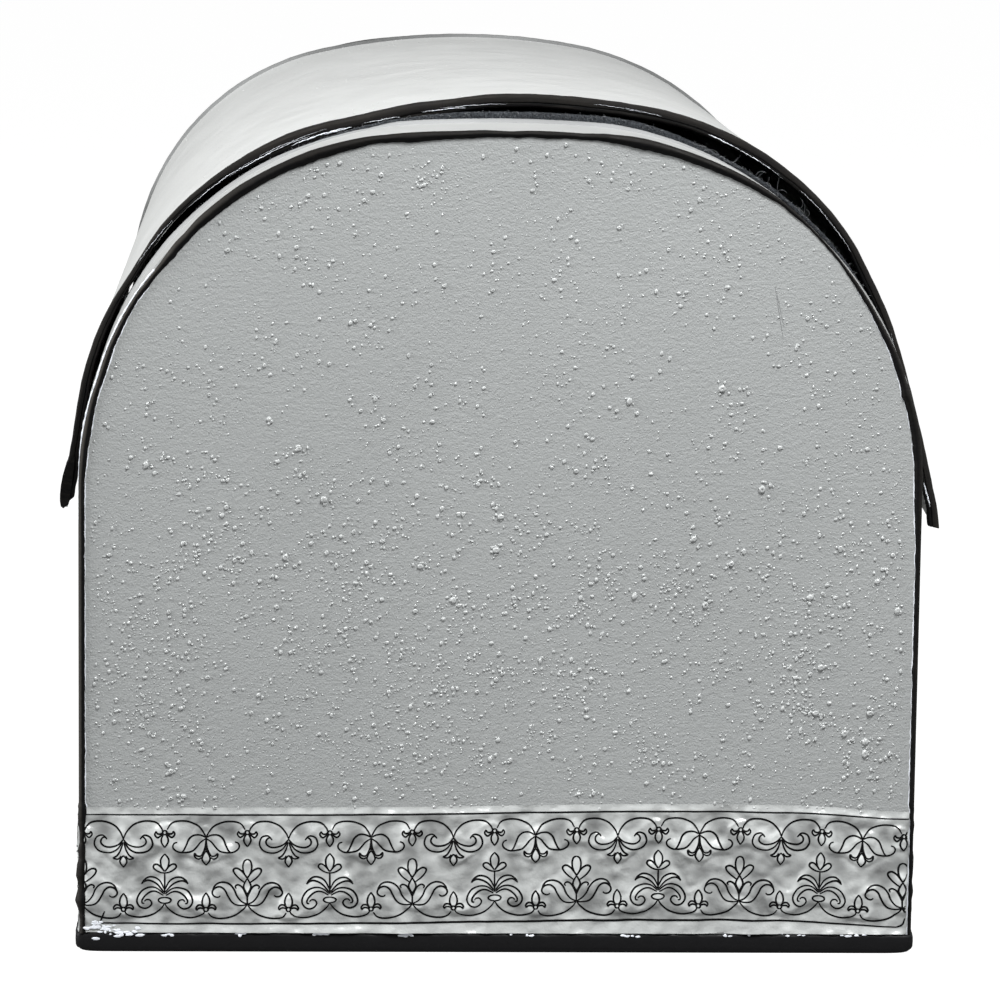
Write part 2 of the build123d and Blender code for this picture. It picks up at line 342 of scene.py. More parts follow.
# %% Satin paint, brushed black and steel
def satin_paint(name, colour, peel, grain, mottle, rough=0.42, specular=0.35):
    """Sprayed paint: orange peel and a finer grain as bumps, and a faint cloudy tone."""
    material, tree, shader = new_material(name, colour, rough, specular)
    stops = [(0.35, shade(colour, 1 - mottle)), (0.65, shade(colour, 1 + mottle))]
    tree.links.new(ramp(tree, noise(tree, 0.05, 3), stops), shader.inputs["Base Color"])
    gloss = spread(tree, noise(tree, 0.012, 3), rough - 0.05, rough + 0.08)
    tree.links.new(gloss, shader.inputs["Roughness"])
    first = bump(tree, noise(tree, 0.0012, 2, stretch=(1.6, 1, 0.8)), peel)
    tree.links.new(bump(tree, noise(tree, 0.0004, 2), grain, first), shader.inputs["Normal"])
    return material


def brushed_black(name, streak, edge=None, width=0.0032, rough=(0.32, 0.55), kept=1.0):
    """Black paint laid on with a brush: long streaks along the edge in tone, gloss and height.

    edge is the tone of the outer half: a brown grey painted highlight where the rounded edge faces the
    light from above. Only the share kept of it stays beyond the first 0.2 m, and a third of it along the
    border.
    """
    base = (0.003, 0.003, 0.0034)
    material, tree, shader = new_material(name, base, 0.4, 0.08)
    lines = noise(tree, 0.0007, 4, stretch=(18, 1, 1), space="UV")
    tone = ramp(tree, lines, [(0.42, base), (0.6, shade(streak, 0.45)), (0.72, streak)])
    if edge is not None:
        # The outer half gets a painted highlight, strongest at the edge and fading inwards.
        fading = [(0.02, edge), (0.38, shade(edge, 0.7)), (0.56, (0, 0, 0))]
        painted_edge_highlight = ramp(tree, across(tree, width), fading)
        shares = [(0.13, (0.35,) * 3), (0.18, (1, 1, 1)), (0.78, (1, 1, 1)), (1.0, (kept,) * 3)]
        tone = added(tree, tone, painted_edge_highlight, ramp(tree, across(tree, 0.2, "X"), shares))
    tree.links.new(tone, shader.inputs["Base Color"])
    tree.links.new(spread(tree, noise(tree, 0.004, 3), *rough), shader.inputs["Roughness"])
    first = bump(tree, lines, 0.00015)
    ticks = bump(tree, noise(tree, 0.0005, 1, stretch=(1, 5, 1), space="UV"), 0.00008, first)
    tree.links.new(bump(tree, noise(tree, 0.0012, 3), 0.0001, ticks), shader.inputs["Normal"])
    return material


def bare_metal(name, colour, rough, stain):
    """Dull plated steel: cloudy stains, fine scratches and a soft shine."""
    material, tree, shader = new_material(name, colour, rough, 0.5)
    shader.inputs["Metallic"].default_value = 1
    stops = [(0.38, stain), (0.55, colour), (0.7, shade(colour, 1.15))]
    tree.links.new(ramp(tree, noise(tree, 0.004, 5), stops), shader.inputs["Base Color"])
    gloss = spread(tree, noise(tree, 0.002, 4), rough - 0.1, rough + 0.2)
    tree.links.new(gloss, shader.inputs["Roughness"])
    lines = bump(tree, noise(tree, 0.0004, 3, stretch=(1, 9, 1)), 0.00004)
    tree.links.new(lines, shader.inputs["Normal"])
    return material


print("kinds of finish: satin paint, brushed black, bare metal")

# %% [markdown]
# ## The finishes of this box
#
# The greys were set against the photograph: the panel in the light of the key lamp, the paler
# lid and band, and the blisters glossier than the paint round them and a little lighter, which is a
# painted highlight on them. The bumps are in metres, so they keep their depth at any scale.

# %% Finishes
grey_paint = satin_paint("grey_satin_paint", (0.298, 0.309, 0.308), 0.00014, 0.00018, 0.015)
# The blisters' paint is lighter than the grey round them: a painted highlight on their tops.
highlit_blister_paint = satin_paint("blistered_grey_paint_painted_highlight", (0.40, 0.414, 0.412), 0.00003, 0.00002, 0.04,
                            0.2, 0.7)
lid_paint = satin_paint("lid_satin_paint", (0.455, 0.463, 0.457), 0.00001, 0.00002, 0.02)
pale_paint = satin_paint("pale_satin_paint", (0.36, 0.366, 0.362), 0.00006, 0.00006, 0.04)
# The ridge is a darker copy of the pale paint: painted shade on its upturned face.
shaded_ridge_paint = satin_paint("heaped_pale_paint_painted_shade", (0.235, 0.24, 0.242), 0.0001, 0.0001, 0.1, 0.6, 0.2)
# White undercoat; on the near rim its slivers are also painted glints.
primer = satin_paint("white_primer_and_glints", (0.72, 0.75, 0.80), 0.00008, 0.00008, 0.1, 0.5)
# The second colour of the bead and of the rim is the painted highlight on their outer half.
bead_black = brushed_black("brushed_black_bead", (0.008, 0.0076, 0.007), (0.034, 0.031, 0.027),
                           rough=(0.45, 0.72), kept=0.2)
rim_black = brushed_black("brushed_black_rim", (0.014, 0.013, 0.012), (0.011, 0.010, 0.009),
                          0.0044, (0.5, 0.75))
foot_black = brushed_black("brushed_black_foot", (0.032, 0.032, 0.034))
# The far rim is a dark grey copy of the lid's paint: painted shade on its step that faces the near end.
far_rim_shaded_grey = satin_paint("thin_rim_grey_painted_shade", (0.15, 0.153, 0.153), 0.00003, 0.00003, 0.3)
hinge_steel = bare_metal("plated_hinge_steel", (0.42, 0.42, 0.41), 0.42, (0.16, 0.14, 0.12))
pin_steel = bare_metal("pin_steel", (0.50, 0.50, 0.49), 0.3, (0.22, 0.19, 0.16))
rivet_steel = bare_metal("rivet_steel", (0.38, 0.37, 0.36), 0.45, (0.14, 0.11, 0.09))
print("finishes:", len(bpy.data.materials))

# %% [markdown]
# ## Outlines
#
# The body's and the lid's outlines are three-centred arches: a flat crown arc that runs smoothly into
# two tighter shoulder arcs, and then a straight side. One function draws half an arch, and the other
# half is drawn to the other side with its own numbers, because the lid isn't quite symmetrical.

# %% Arch outlines
crown_steps, shoulder_steps, side_steps = 30, 46, 24


def arch_side(side, crown_x, crown_radius, top, turn, radius, lean, foot, inset):
    """Half an arch, from the crown's middle to the foot, and its outward normals.

    An angle a from the vertical gives the normal (side sin a, cos a). The crown's points lie
    crown_radius along it from the crown's centre, up to the turn. The shoulder's centre lies on that
    last line, so the arcs share a tangent there. The side leaves the shoulder where it leans by lean.
    """
    turn, lean = math.radians(turn), math.radians(lean)
    towards_turn = np.array([side * math.sin(turn), math.cos(turn)])
    crown_centre = np.array([crown_x, top - crown_radius])
    shoulder_centre = crown_centre + (crown_radius - radius) * towards_turn
    end = math.pi / 2 - lean
    angles = np.concatenate([np.linspace(0, turn, crown_steps, endpoint=False),
                             np.linspace(turn, end, shoulder_steps), np.full(side_steps, end)])
    normals = np.stack([side * np.sin(angles), np.cos(angles)], -1)
    on_crown = np.arange(len(angles)) < crown_steps
    centres = np.where(on_crown[:, None], crown_centre, shoulder_centre)
    radii = np.where(on_crown, crown_radius, radius) - inset
    points = centres + radii[:, None] * normals
    curved = crown_steps + shoulder_steps
    drop = (points[curved - 1, 1] - foot) / math.cos(lean)
    share = np.concatenate([np.zeros(curved), np.arange(1, side_steps + 1) / side_steps])
    down = np.array([side * math.sin(lean), -math.cos(lean)])
    return points + share[:, None] * drop * down, normals


def arch(crown_x, crown_radius, top, left, right, inset=0.0):
    """Whole arch from the left foot to the right one; left and right are (turn, radius, lean, foot)."""
    left_points, left_normals = arch_side(-1, crown_x, crown_radius, top, *left, inset)
    right_points, right_normals = arch_side(1, crown_x, crown_radius, top, *right, inset)
    points = np.vstack([left_points[::-1], right_points[1:]])
    normals = np.vstack([left_normals[::-1], right_normals[1:]])
    return points, normals


def distances(points):
    """Distance along a line of points from its start."""
    steps = np.linalg.norm(np.diff(points, axis=0), axis=1)
    return np.concatenate([[0], np.cumsum(steps)])


def crown_of(half_width, radius, rise):
    """Crown radius R and turn that join two shoulders of radius r and rise above their tops.

    The shoulders' centres lie c = half width - r from the middle: c^2 = (R - r)^2 - (R - r - rise)^2.
    """
    c = half_width - radius
    crown = (c * c + 2 * radius * rise + rise * rise) / (2 * rise)
    return crown, math.degrees(math.asin(c / (crown - radius)))


bead_low, bead_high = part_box("near_end_bead")
body_half = bead_high.x / MM
body_top = bead_high.z / MM
body_foot = bead_low.z / MM
panel_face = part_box("near_end_panel")[0].y / MM
lid_end = -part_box("lid_near_rim")[0].y / MM
body_shoulder, body_rise = 84.0, 0.5
body_crown, body_turn = crown_of(body_half, body_shoulder, body_rise)
body_side = (body_turn, body_shoulder, 0.0, body_foot)
body_line, body_normal = arch(0.0, body_crown, body_top, body_side, body_side)
print(f"body {2 * body_half:.0f} wide and {body_top:.1f} high, crown radius {body_crown:.0f} mm")

# %% [markdown]
# ## The lid's outline from end to end
#
# The lid was bent by hand, so its two ends differ from each other and from the even packed one. It is
# drawn at three stations: the near rim, the far rim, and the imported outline, which holds the skirt
# where the hinges sit. The sheet between them blends from one to the next. The near rim also has a few
# shallow dents, and the sheet follows them at that end.

# %% Lid outlines at three stations
sheet_thick = 0.8
rim_proud = 0.9            # how far the rim stands out from the sheet
skirt_foot = 101.5
lid_shoulder, lid_rise, lid_top = 77.0, 3.05, 202.0
lid_over_body = 1.4        # from the body's side to the lid's
near_station = dict(crown_x=6.0, crown_radius=173.5, top=203.7,
                    left=(15.8, 84.2, 9.2, 103.0), right=(10.0, 76.4, 15.7, 99.4))
lid_crown, lid_turn = crown_of(body_half + lid_over_body, lid_shoulder, lid_rise)
packed_side = (lid_turn, lid_shoulder + rim_proud, 12.5, skirt_foot)
packed_station = dict(crown_x=0.0, crown_radius=lid_crown + rim_proud, top=lid_top + rim_proud,
                      left=packed_side, right=packed_side)
far_station = dict(crown_x=0.1, crown_radius=191.4, top=200.3,
                   left=(13.3, 72.4, 14.3, skirt_foot), right=(10.1, 82.3, 13.8, skirt_foot))
hold_fade = 55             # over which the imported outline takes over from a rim's
hold_from, hold_over = 150, 15     # first point of the arch that it holds, and points to its full hold
dents_start = -100         # the sheet follows the near rim's dents from here on
near_dents = [(-89.5, -0.95, 6), (-53, 0.3, 9), (-33, -0.4, 10), (2, 0.4, 13), (-12, -0.25, 5),
              (91, -0.6, 4), (100.5, 0.35, 4), (107.5, -0.35, 2), (109.9, -1.3, 1.3)]


def lid_lines(y, inset):
    """Lid outlines at the places y, (places, points, 2), and their normals.

    The outline runs straight from the near station to the far one. Only the lower part of the right
    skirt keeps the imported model's line at the hinges; that hold fades out towards the rims and up the
    arch. inset counts inwards from the rims' outer edge.
    """
    share = ((y + lid_end) / (2 * lid_end))[:, None, None]
    arch_points = 2 * (crown_steps + shoulder_steps + side_steps) - 1
    hold = smoothstep((lid_end - np.abs(y)) / hold_fade)[:, None, None]
    hold = hold * smoothstep((np.arange(arch_points) - hold_from) / hold_over)[None, :, None]
    lines = [arch(**station, inset=inset) for station in (near_station, far_station, packed_station)]
    (near, near_out), (far, far_out), (packed, packed_out) = lines
    points = (1 - hold) * ((1 - share) * near + share * far) + hold * packed
    normals = (1 - hold) * ((1 - share) * near_out + share * far_out) + hold * packed_out
    return points, normals / np.linalg.norm(normals, axis=2, keepdims=True)


def dented(x, dents):
    """Height of the dents at x: the sum of a bell for each place, height and reach."""
    return sum(rise * np.exp(-((x - place) / reach) ** 2) for place, rise, reach in dents)


def placed(line, y):
    """Points in x and z put at the places y along the box."""
    return np.stack([line[..., 0], np.broadcast_to(y, line.shape[:-1]), line[..., 1]], -1)


for name, station in (("near", near_station), ("packed", packed_station), ("far", far_station)):
    outline, _ = arch(**station)
    print(f"{name} outline: {np.ptp(outline[:, 0]):.1f} wide, {outline[:, 1].max():.1f} mm high")

# %% [markdown]
# ## Lid
#
# The lid is one sheet, 0.8 mm thick, pale outside. Its mesh is a shell: each row of the grid goes
# along the box on the outside and comes back on the inside. A hand-bent sheet isn't quite straight
# either, so its crown sways by a quarter of a millimetre.

# %% Lid sheet
def lid_sheet():
    """Rows follow the arch; each row runs along y outside and back inside, a sheet's thickness deeper."""
    y = np.concatenate([np.linspace(-lid_end + rim_proud, -95, 16), np.linspace(-90, 90, 19),
                        np.linspace(95, lid_end - rim_proud, 16)])
    sway = 0.25 * np.sin(y / 37) * np.sin(y / 150 * np.pi)
    outer, normal = lid_lines(y, rim_proud)
    inner, _ = lid_lines(y, rim_proud + sheet_thick)
    near_end = smoothstep((dents_start - y) / (lid_end + dents_start))[:, None]
    lift = normal[..., 1] ** 2 * sway[:, None] + dented(outer[..., 0], near_dents) * near_end
    outer = outer + normal * lift[..., None]
    inner = inner + normal * lift[..., None]
    out_points = placed(outer, y[:, None])
    in_points = placed(inner, y[:, None])
    return tube(np.concatenate([out_points, in_points[::-1]]).transpose(1, 0, 2))


add_piece("lid_shell", lid_sheet(), lid_paint, "lid", ["lid_sheet"])

# %% [markdown]
# ## Rims
#
# A folded channel closes each end of the lid. The near one carries thick black paint with a groove
# where the fold meets the sheet. Its section is a closed loop of points across the rim, and the
# thickness wavers along the arch as a brush would leave it.

# %% Lid rims
map_step = 0.0004          # metres on a swept piece's map from one point of its section to the next
rim_width = 3.0            # along the box
slant_fade = 8


def read_at(place, along, values):
    """Each number of the values, which are known at the distances along, read at other places."""
    return np.stack([np.interp(place, along, values[:, k]) for k in range(values.shape[1])], -1)


def section_map(along, across):
    """Map of a section carried along a line: the distance along it, and the place across the section."""
    return np.stack([np.repeat(along, len(across)), np.tile(across, len(along))], -1)


def slanted(line, normal, along, start, finish):
    """Line and normals read at along, moved up from the feet by start and finish, which soon fade out."""
    place = along[:, None] + start[None] * np.clip(1 - along[:, None] / slant_fade, 0, 1)
    place = place - finish[None] * np.clip(1 - (along[-1] - along[:, None]) / slant_fade, 0, 1)
    return read_at(place, along, line), read_at(place, along, normal)


def rim(sign, station, thickness, slants, dents=()):
    """Section across the rim carried along the arch: offsets along the normal and along the box.

    sign is -1 for the near rim and 1 for the far one. thickness pairs how far the normal leans from
    upright, in degrees, with the rim's thickness there. slants tells how much higher its inner edge
    ends than its outer one at the left foot, where the rim also swells inwards over the lip, and at
    the right foot, which has to clear the back wall when the lid is open.
    """
    line, normal = arch(**station)
    along = distances(line)
    share = np.array([0.0, 0.0, 0.08, 0.22, 0.4, 0.56, 0.63, 0.7, 0.84, 0.95, 1.0, 1.0])
    inward = np.array([rim_width, 0.5, 0.12, 0.0, 0.03, 0.12, 0.42, 0.12, 0.1, 0.3, 0.7, rim_width])
    lean = np.degrees(np.arctan2(normal[:, 0], normal[:, 1]))
    thick = np.interp(lean, *zip(*thickness)) + 0.25 * slants[0] * smoothstep((15 - along) / 6)
    outer_wave = waves(along, 11, (60, 27, 12, 5), 0.08)[:, None]
    inner_wave = waves(along, 12, (45, 20, 9, 4), 0.12)[:, None]
    offset = -share[None] * thick[:, None] + outer_wave * (1 - share) + inner_wave * share
    offset = offset + dented(line[:, :1], dents)
    points, normals = slanted(line, normal, along, slants[0] * share, slants[1] * share)
    points = points + offset[..., None] * normals
    y = sign * (lid_end - inward[None])
    return tube(placed(points, y)), section_map(along * MM, np.arange(len(share)) * map_step)


near_thickness = [(-90, 2.2), (-70, 2.1), (-58, 1.7), (-48, 1.5), (-40, 1.7), (-34, 2.5), (-24, 4.1),
                  (-12, 4.4), (-4, 3.2), (25, 2.9), (50, 2.3), (74, 2.5), (90, 2.5)]
far_thickness = [(-90, 1.8), (0, 2.2), (90, 1.8)]
shape, uv = rim(-1, near_station, near_thickness, (3.0, 1.3), near_dents)
add_piece("lid_near_rim_painted", shape, rim_black, "lid", ["lid_near_rim"], uv)
shape, uv = rim(1, far_station, far_thickness, (0.0, 0.0))
add_piece("lid_far_rim_painted", shape, far_rim_shaded_grey, "lid", ["lid_far_rim"], uv)

# %% [markdown]
# ## Glints and scraped streaks on the near rim
#
# Pale streaks lie along the rim: painted glints where the black paint catches the light, and the pale
# undercoat where the lid has rubbed the paint through. Each is a sliver whose ridge stands just proud
# of the paint, so that it can't flicker with the face below.

# %% Rim glints and scraped streaks
def glints_and_scrapes(specs, seed):
    """Pale slivers on the rim's face, painted glints and scraped undercoat: (start x, length, depth below
    the outer edge, width).
    """
    line, normal = arch(**near_station)
    along = distances(line)
    chance = np.random.default_rng(seed)
    steps = 40
    taper = np.sin(np.linspace(0, np.pi, steps)) ** 0.5
    parts = []
    for start_x, length, depth, width in specs:
        start = along[int(np.argmin(np.abs(line[:, 0] - start_x)))]
        place = np.linspace(start, start + length, steps)
        middle, out = read_at(place, along, line), read_at(place, along, normal)
        half = 0.5 * width * taper * chance.uniform(0.25, 1, steps)
        sway = waves(place, int(chance.integers(1000)), (14, 6, 2), 0.10)
        offset = -depth + sway[:, None] + half[:, None] * np.array([1, 0, -1, 0])
        points = middle[:, None] + offset[..., None] * out[:, None]
        parts.append(tube(placed(points, -lid_end - np.array([[-0.1, 0.06, -0.1, -0.3]]))))
    return joined(parts)


left_glints_and_scrapes = [(-76, 20, 1.7, 0.2), (-66, 22, 2.0, 0.28), (-58, 18, 1.6, 0.15), (-52, 14, 2.5, 0.45),
                (-44, 7, 2.7, 0.4), (-34, 9, 2.5, 0.2), (-20, 11, 2.3, 0.22), (-14, 16, 1.9, 0.12),
                (-88, 14, 1.2, 0.2)]
right_glints_and_scrapes = [(22, 12, 1.1, 0.15), (30, 9, 1.35, 0.2), (50, 7, 2.3, 0.4), (56, 16, 2.35, 0.22),
                 (74, 12, 1.8, 0.22), (80, 11, 1.9, 0.2), (96, 8, 1.0, 0.15), (106.6, 6.5, 2.2, 0.5)]
add_piece("rim_glints_and_scrapes", glints_and_scrapes(left_glints_and_scrapes + right_glints_and_scrapes, 15), primer, "lid")

# %% [markdown]
# ## Beads round the end panels
#
# The joint between an end panel and the sheets round it is covered by a thick bead of black paint.
# Its width swells and shrinks between one and three millimetres, and small nibs stand on its inner
# edge where the brush touched the panel. The reach of both edges was measured on the photograph at a
# few places and then corrected. Each place is named by how far the outline's normal leans
# there from upright, in degrees.

# %% Reach of the beads' edges
border_height = 30.7       # of the ornamental strip; the bead grows lumpy beside it
near_inner = [(-90, 1.5), (-84, 2.0), (-72, 2.1), (-58, 1.5), (-50, 2.1), (-42, 1.75), (-34, 1.8),
              (-26, 1.5), (-18, 1.9), (-10, 1.4), (-4, 2.1), (0, 1.45), (4, 1.5), (10, 1.9), (20, 1.75),
              (28, 1.3), (36, 0.6), (43, 0.6), (50, 1.0), (58, 1.6), (66, 1.6), (74, 1.9), (82, 1.75),
              (90, 1.7)]
near_outer = [(-90, -0.05), (-74, -0.4), (-66, -0.1), (-52, -0.4), (-42, 0.5), (-33, 1.05), (-20, 0.85),
              (-8, 0.3), (0, 0.1), (12, 0.6), (36, 0.5), (48, -0.2), (60, -0.4), (70, 0.0), (80, 0.4),
              (90, 0.2)]
far_inner = [(-90, 1.3), (-80, 2.0), (80, 2.0), (90, 1.3)]
far_outer = [(-90, -0.05), (-75, 0.4), (75, 0.4), (90, -0.05)]


def arc_line(steps):
    """The body's outline and normals at even distances, with how far each normal leans from upright."""
    reach = distances(body_line)
    along = np.linspace(0, reach[-1], steps)
    line, normal = read_at(along, reach, body_line), read_at(along, reach, body_normal)
    return along, line, normal, np.degrees(np.arctan2(normal[:, 0], normal[:, 1]))


def faceted(along, seed, length, depth):
    """Straight runs of uneven length between chance heights, as brush strokes leave an edge."""
    chance = np.random.default_rng(seed)
    corners = np.cumsum(chance.uniform(0.4, 1.6, int(along[-1] / length) + 6)) * length
    heights = depth * chance.uniform(-1, 1, len(corners) + 1)
    return np.interp(along, np.concatenate([[0], corners]), heights)


widths = np.array([low + high for (_, low), (_, high) in zip(far_inner, far_outer)])
print("widths of the far bead:", widths)

# %% Beads
def bead(sign, inner_reach, outer_reach, seed):
    """Half-round section carried along the body's outline, from its outer edge inwards.

    sign is -1 at the near end and 1 at the far one. Chance waves, facets and nibs come on top of the
    reach of both edges, and lumps where the bead passes the border.
    """
    along, line, normal, lean = arc_line(1500)
    on_arch = smoothstep((90 - np.abs(lean)) / 8)
    outer = np.interp(lean, *zip(*outer_reach)) + on_arch * faceted(along, seed, 7, 0.16)
    inner = np.interp(lean, *zip(*inner_reach))
    thin_below = 97            # the right side is thinner below this height
    inner = inner - 0.65 * (1 - smoothstep((line[:, 1] - thin_below) / 15)) * (line[:, 0] > 0)
    inner = inner + on_arch * faceted(along, seed + 1, 4, 0.14) + waves(along, seed + 2, (6, 3), 0.05)
    chance = np.random.default_rng(seed + 3)
    for place, size in zip(chance.uniform(0, along[-1], 14), chance.uniform(0.08, 0.26, 14)):
        inner = inner + size * np.exp(-((along - place) / (0.8 + 1.5 * size)) ** 2)
    low = smoothstep((border_height + 1.5 - (line[:, 1] - body_foot)) / 2)
    lumps = 0.15 + faceted(along, seed + 4, 8, 0.65) + faceted(along, seed + 5, 2.4, 0.6)
    on_left = sign * lean > 0
    outer = outer + low * np.where(on_left, np.clip(lumps, -0.25, 1.1), 0.3 * np.clip(lumps, 0, 1))
    inner = inner + low * np.where(on_left, 0.35 + 0.5 * np.clip(lumps, -0.5, 0.8), -0.35)
    t = np.linspace(0, 1, 9)
    dome = np.sin(np.pi * np.clip(t, 0.03, 0.97)) ** 0.6 * (1.05 - 0.25 * t)
    height = (0.42 * (inner + outer) + 0.2)[:, None] * dome
    height = height + low[:, None] * 0.3 * faceted(along, seed + 6, 2.2, 1.0)[:, None] * np.sin(np.pi * t)
    offset = outer[:, None] - t[None] * (inner + outer)[:, None]
    points = line[:, None] + offset[..., None] * normal[:, None]
    y = sign * (-panel_face - 0.05 + np.clip(height, 0.12, 1.9))
    back = placed(points[:, ::-4], np.full((len(along), 3), sign * (-panel_face - 0.3)))
    loops = np.concatenate([placed(points, y), back], axis=1)
    uv = section_map(along * MM, np.array([*range(9), 8, 4, 0]) * map_step)
    edge = line - (inner + 0.02)[:, None] * normal
    return tube(loops), uv, (along, edge, normal, lean, line + outer[:, None] * normal)


def primer_line(along, edge, normal, lean, outside, sign):
    """A hair of white undercoat beside the bead, on the straight sides and low on the arch.

    Another one, up to a quarter of a millimetre wide, lies outside the left bead low on the arch.
    """
    kept = np.abs(lean) > 55
    half = np.clip(0.07 + waves(along, 27, (30, 9, 3), 0.055), 0.01, 0.22)
    parts = []
    for one_side in (kept & (lean < 0), kept & (lean > 0)):
        offset = half[one_side, None] * np.array([0.4, -1.0, -2.2, -1.0])
        points = edge[one_side, None] + offset[..., None] * normal[one_side, None]
        parts.append(tube(placed(points, sign * (-panel_face + np.array([[0.02, 0.05, 0.02, -0.1]])))))
    low = (lean < -52) & (outside[:, 1] > 104)
    width = 0.04 + 0.2 * smoothstep((outside[low, 1] - 112) / 16)
    width = width * (1 + waves(along[low], 28, (11, 4, 2), 0.4))
    offset = width[:, None] * np.array([-0.3, 0.5, 1.0, 0.5])
    points = outside[low, None] + offset[..., None] * normal[low, None]
    parts.append(tube(placed(points, sign * (-panel_face + np.array([[0.3, 0.4, 0.3, -0.3]])))))
    return joined(parts)


for name, sign, inner_reach, outer_reach, seed in (("near", -1, near_inner, near_outer, 21),
                                                   ("far", 1, far_inner, far_outer, 31)):
    shape, uv, edges = bead(sign, inner_reach, outer_reach, seed)
    add_piece(f"{name}_bead_painted", shape, bead_black, "box", [f"{name}_end_bead"], uv)
    add_piece(f"{name}_undercoat_line", primer_line(*edges, sign), primer, "box")

# %% [markdown]
# ## Blisters in the paint
#
# The grey paint is full of blisters, from grains of a third of a millimetre to burst bubbles two
# millimetres wide. The larger ones are given as pixels of the photograph, each counted from its left
# and top edge, and stand where the line of sight through that pixel meets the panel. The
# small ones fall by chance, thickest a little below half height, and gather in little crowds. Each is
# a low closed dome with a bumpy outline.

# %% Places of the larger blisters
large_spots = [(271, 420), (297, 448), (148, 465), (322, 498), (286, 559), (421, 566), (455, 601),
               (495, 552), (502, 519), (170, 771), (182, 795), (631, 401), (721, 388), (762, 489),
               (842, 550), (696, 540), (732, 564), (707, 608), (876, 581), (812, 599), (897, 610),
               (636, 597), (823, 670), (816, 714), (872, 712), (844, 734), (865, 741), (865, 756)]
medium_spots = [(276, 461), (156, 473), (386, 485), (422, 466), (478, 456), (431, 394), (376, 401),
                (385, 421), (228, 509), (221, 516), (225, 524), (234, 530), (182, 525), (173, 531),
                (253, 552), (278, 568), (243, 562), (382, 542), (337, 568), (416, 558), (445, 571),
                (389, 577), (384, 601), (458, 551), (436, 518), (442, 509), (417, 498), (445, 487),
                (492, 507), (495, 510), (287, 641), (277, 607), (226, 669), (234, 689), (351, 671),
                (476, 628), (463, 633), (438, 690), (410, 706), (173, 670), (181, 692), (500, 742),
                (310, 794), (378, 789), (593, 467), (552, 468), (649, 453), (636, 415), (726, 445),
                (781, 449), (772, 485), (632, 490), (819, 536), (721, 517), (698, 549), (713, 545),
                (744, 553), (716, 576), (712, 601), (822, 593), (827, 586), (837, 597), (514, 589),
                (592, 596), (560, 617), (549, 631), (588, 628), (499, 656), (576, 674), (586, 664),
                (593, 681), (630, 692), (752, 682), (699, 695), (691, 713), (727, 651), (763, 636),
                (783, 643), (797, 659), (896, 707), (848, 744), (888, 757), (846, 764), (616, 734),
                (532, 703), (593, 795), (674, 796), (783, 708), (263, 210), (279, 236), (307, 194),
                (383, 176), (317, 170), (339, 211), (363, 199), (375, 191), (355, 236), (407, 214),
                (227, 250), (443, 285), (620, 230)]
picture_size = 1000        # pixels
spots_plane = -180.0       # where the lines of sight end along the box


def on_panel(spots):
    """Places on the panel in whole millimetres, where the line of sight through each pixel ends."""
    right, up, ahead = camera_axes()
    away = picture_size * camera_lens / camera_sensor
    middle = picture_size / 2
    places = []
    for column, row in spots:
        sight = ahead * away + right * (column - middle) + up * (middle - row)
        end = (camera_place + sight * (spots_plane * MM - camera_place.y) / sight.y) / MM
        places.append((round(end.x), round(end.z)))
    return places


large_blisters = on_panel(large_spots)
medium_blisters = on_panel(medium_spots)
print("larger blisters:", len(large_blisters) + len(medium_blisters))

# %% Blisters
def within_panel(x, z, margin):
    """True where a point lies inside the arch by at least the margin."""
    centre_x, centre_z = body_half - body_shoulder, body_top - body_shoulder
    shoulder = np.hypot(np.maximum(np.abs(x) - centre_x, 0), z - centre_z)
    return (np.abs(x) < body_half - margin) & ((z <= centre_z) | (shoulder < body_shoulder - margin))


def domes(x, z, radius, height, chance, share=(1.0, 0.82, 0.5, 0.18), sides=6):
    """Low closed domes, each with its own bumpy outline; some have sunk in the middle.

    Each ring lies at a share s of the radius and at the height times the root of 1 - s^2, but the
    first one is sunk into the paint.
    """
    count, rings = len(x), len(share)
    share = np.array(share)
    lift = np.tile(np.sqrt(1 - share ** 2), (count, 1))
    lift[:, 0] = -0.15
    lift[:, -1] *= np.where(radius > 0.5, chance.uniform(0.4, 1.05, count), 1.0)
    angle = 2 * np.pi * np.arange(sides) / sides + chance.uniform(0, 6, (count, 1))
    outline = 1 + 0.18 * chance.uniform(-1, 1, (count, 1, sides))
    flat = chance.uniform(0.8, 1.2, (count, 1, 1))
    across_x = radius[:, None, None] * share[:, None] * outline * np.cos(angle)[:, None] * flat
    across_z = radius[:, None, None] * share[:, None] * outline * np.sin(angle)[:, None] / flat
    rough = 0.1 * chance.uniform(-1, 1, (count, rings, sides)) * (share < 0.9)[:, None]
    up = height[:, None, None] * (lift[..., None] + rough)
    return x[:, None, None] + across_x, z[:, None, None] + across_z, up


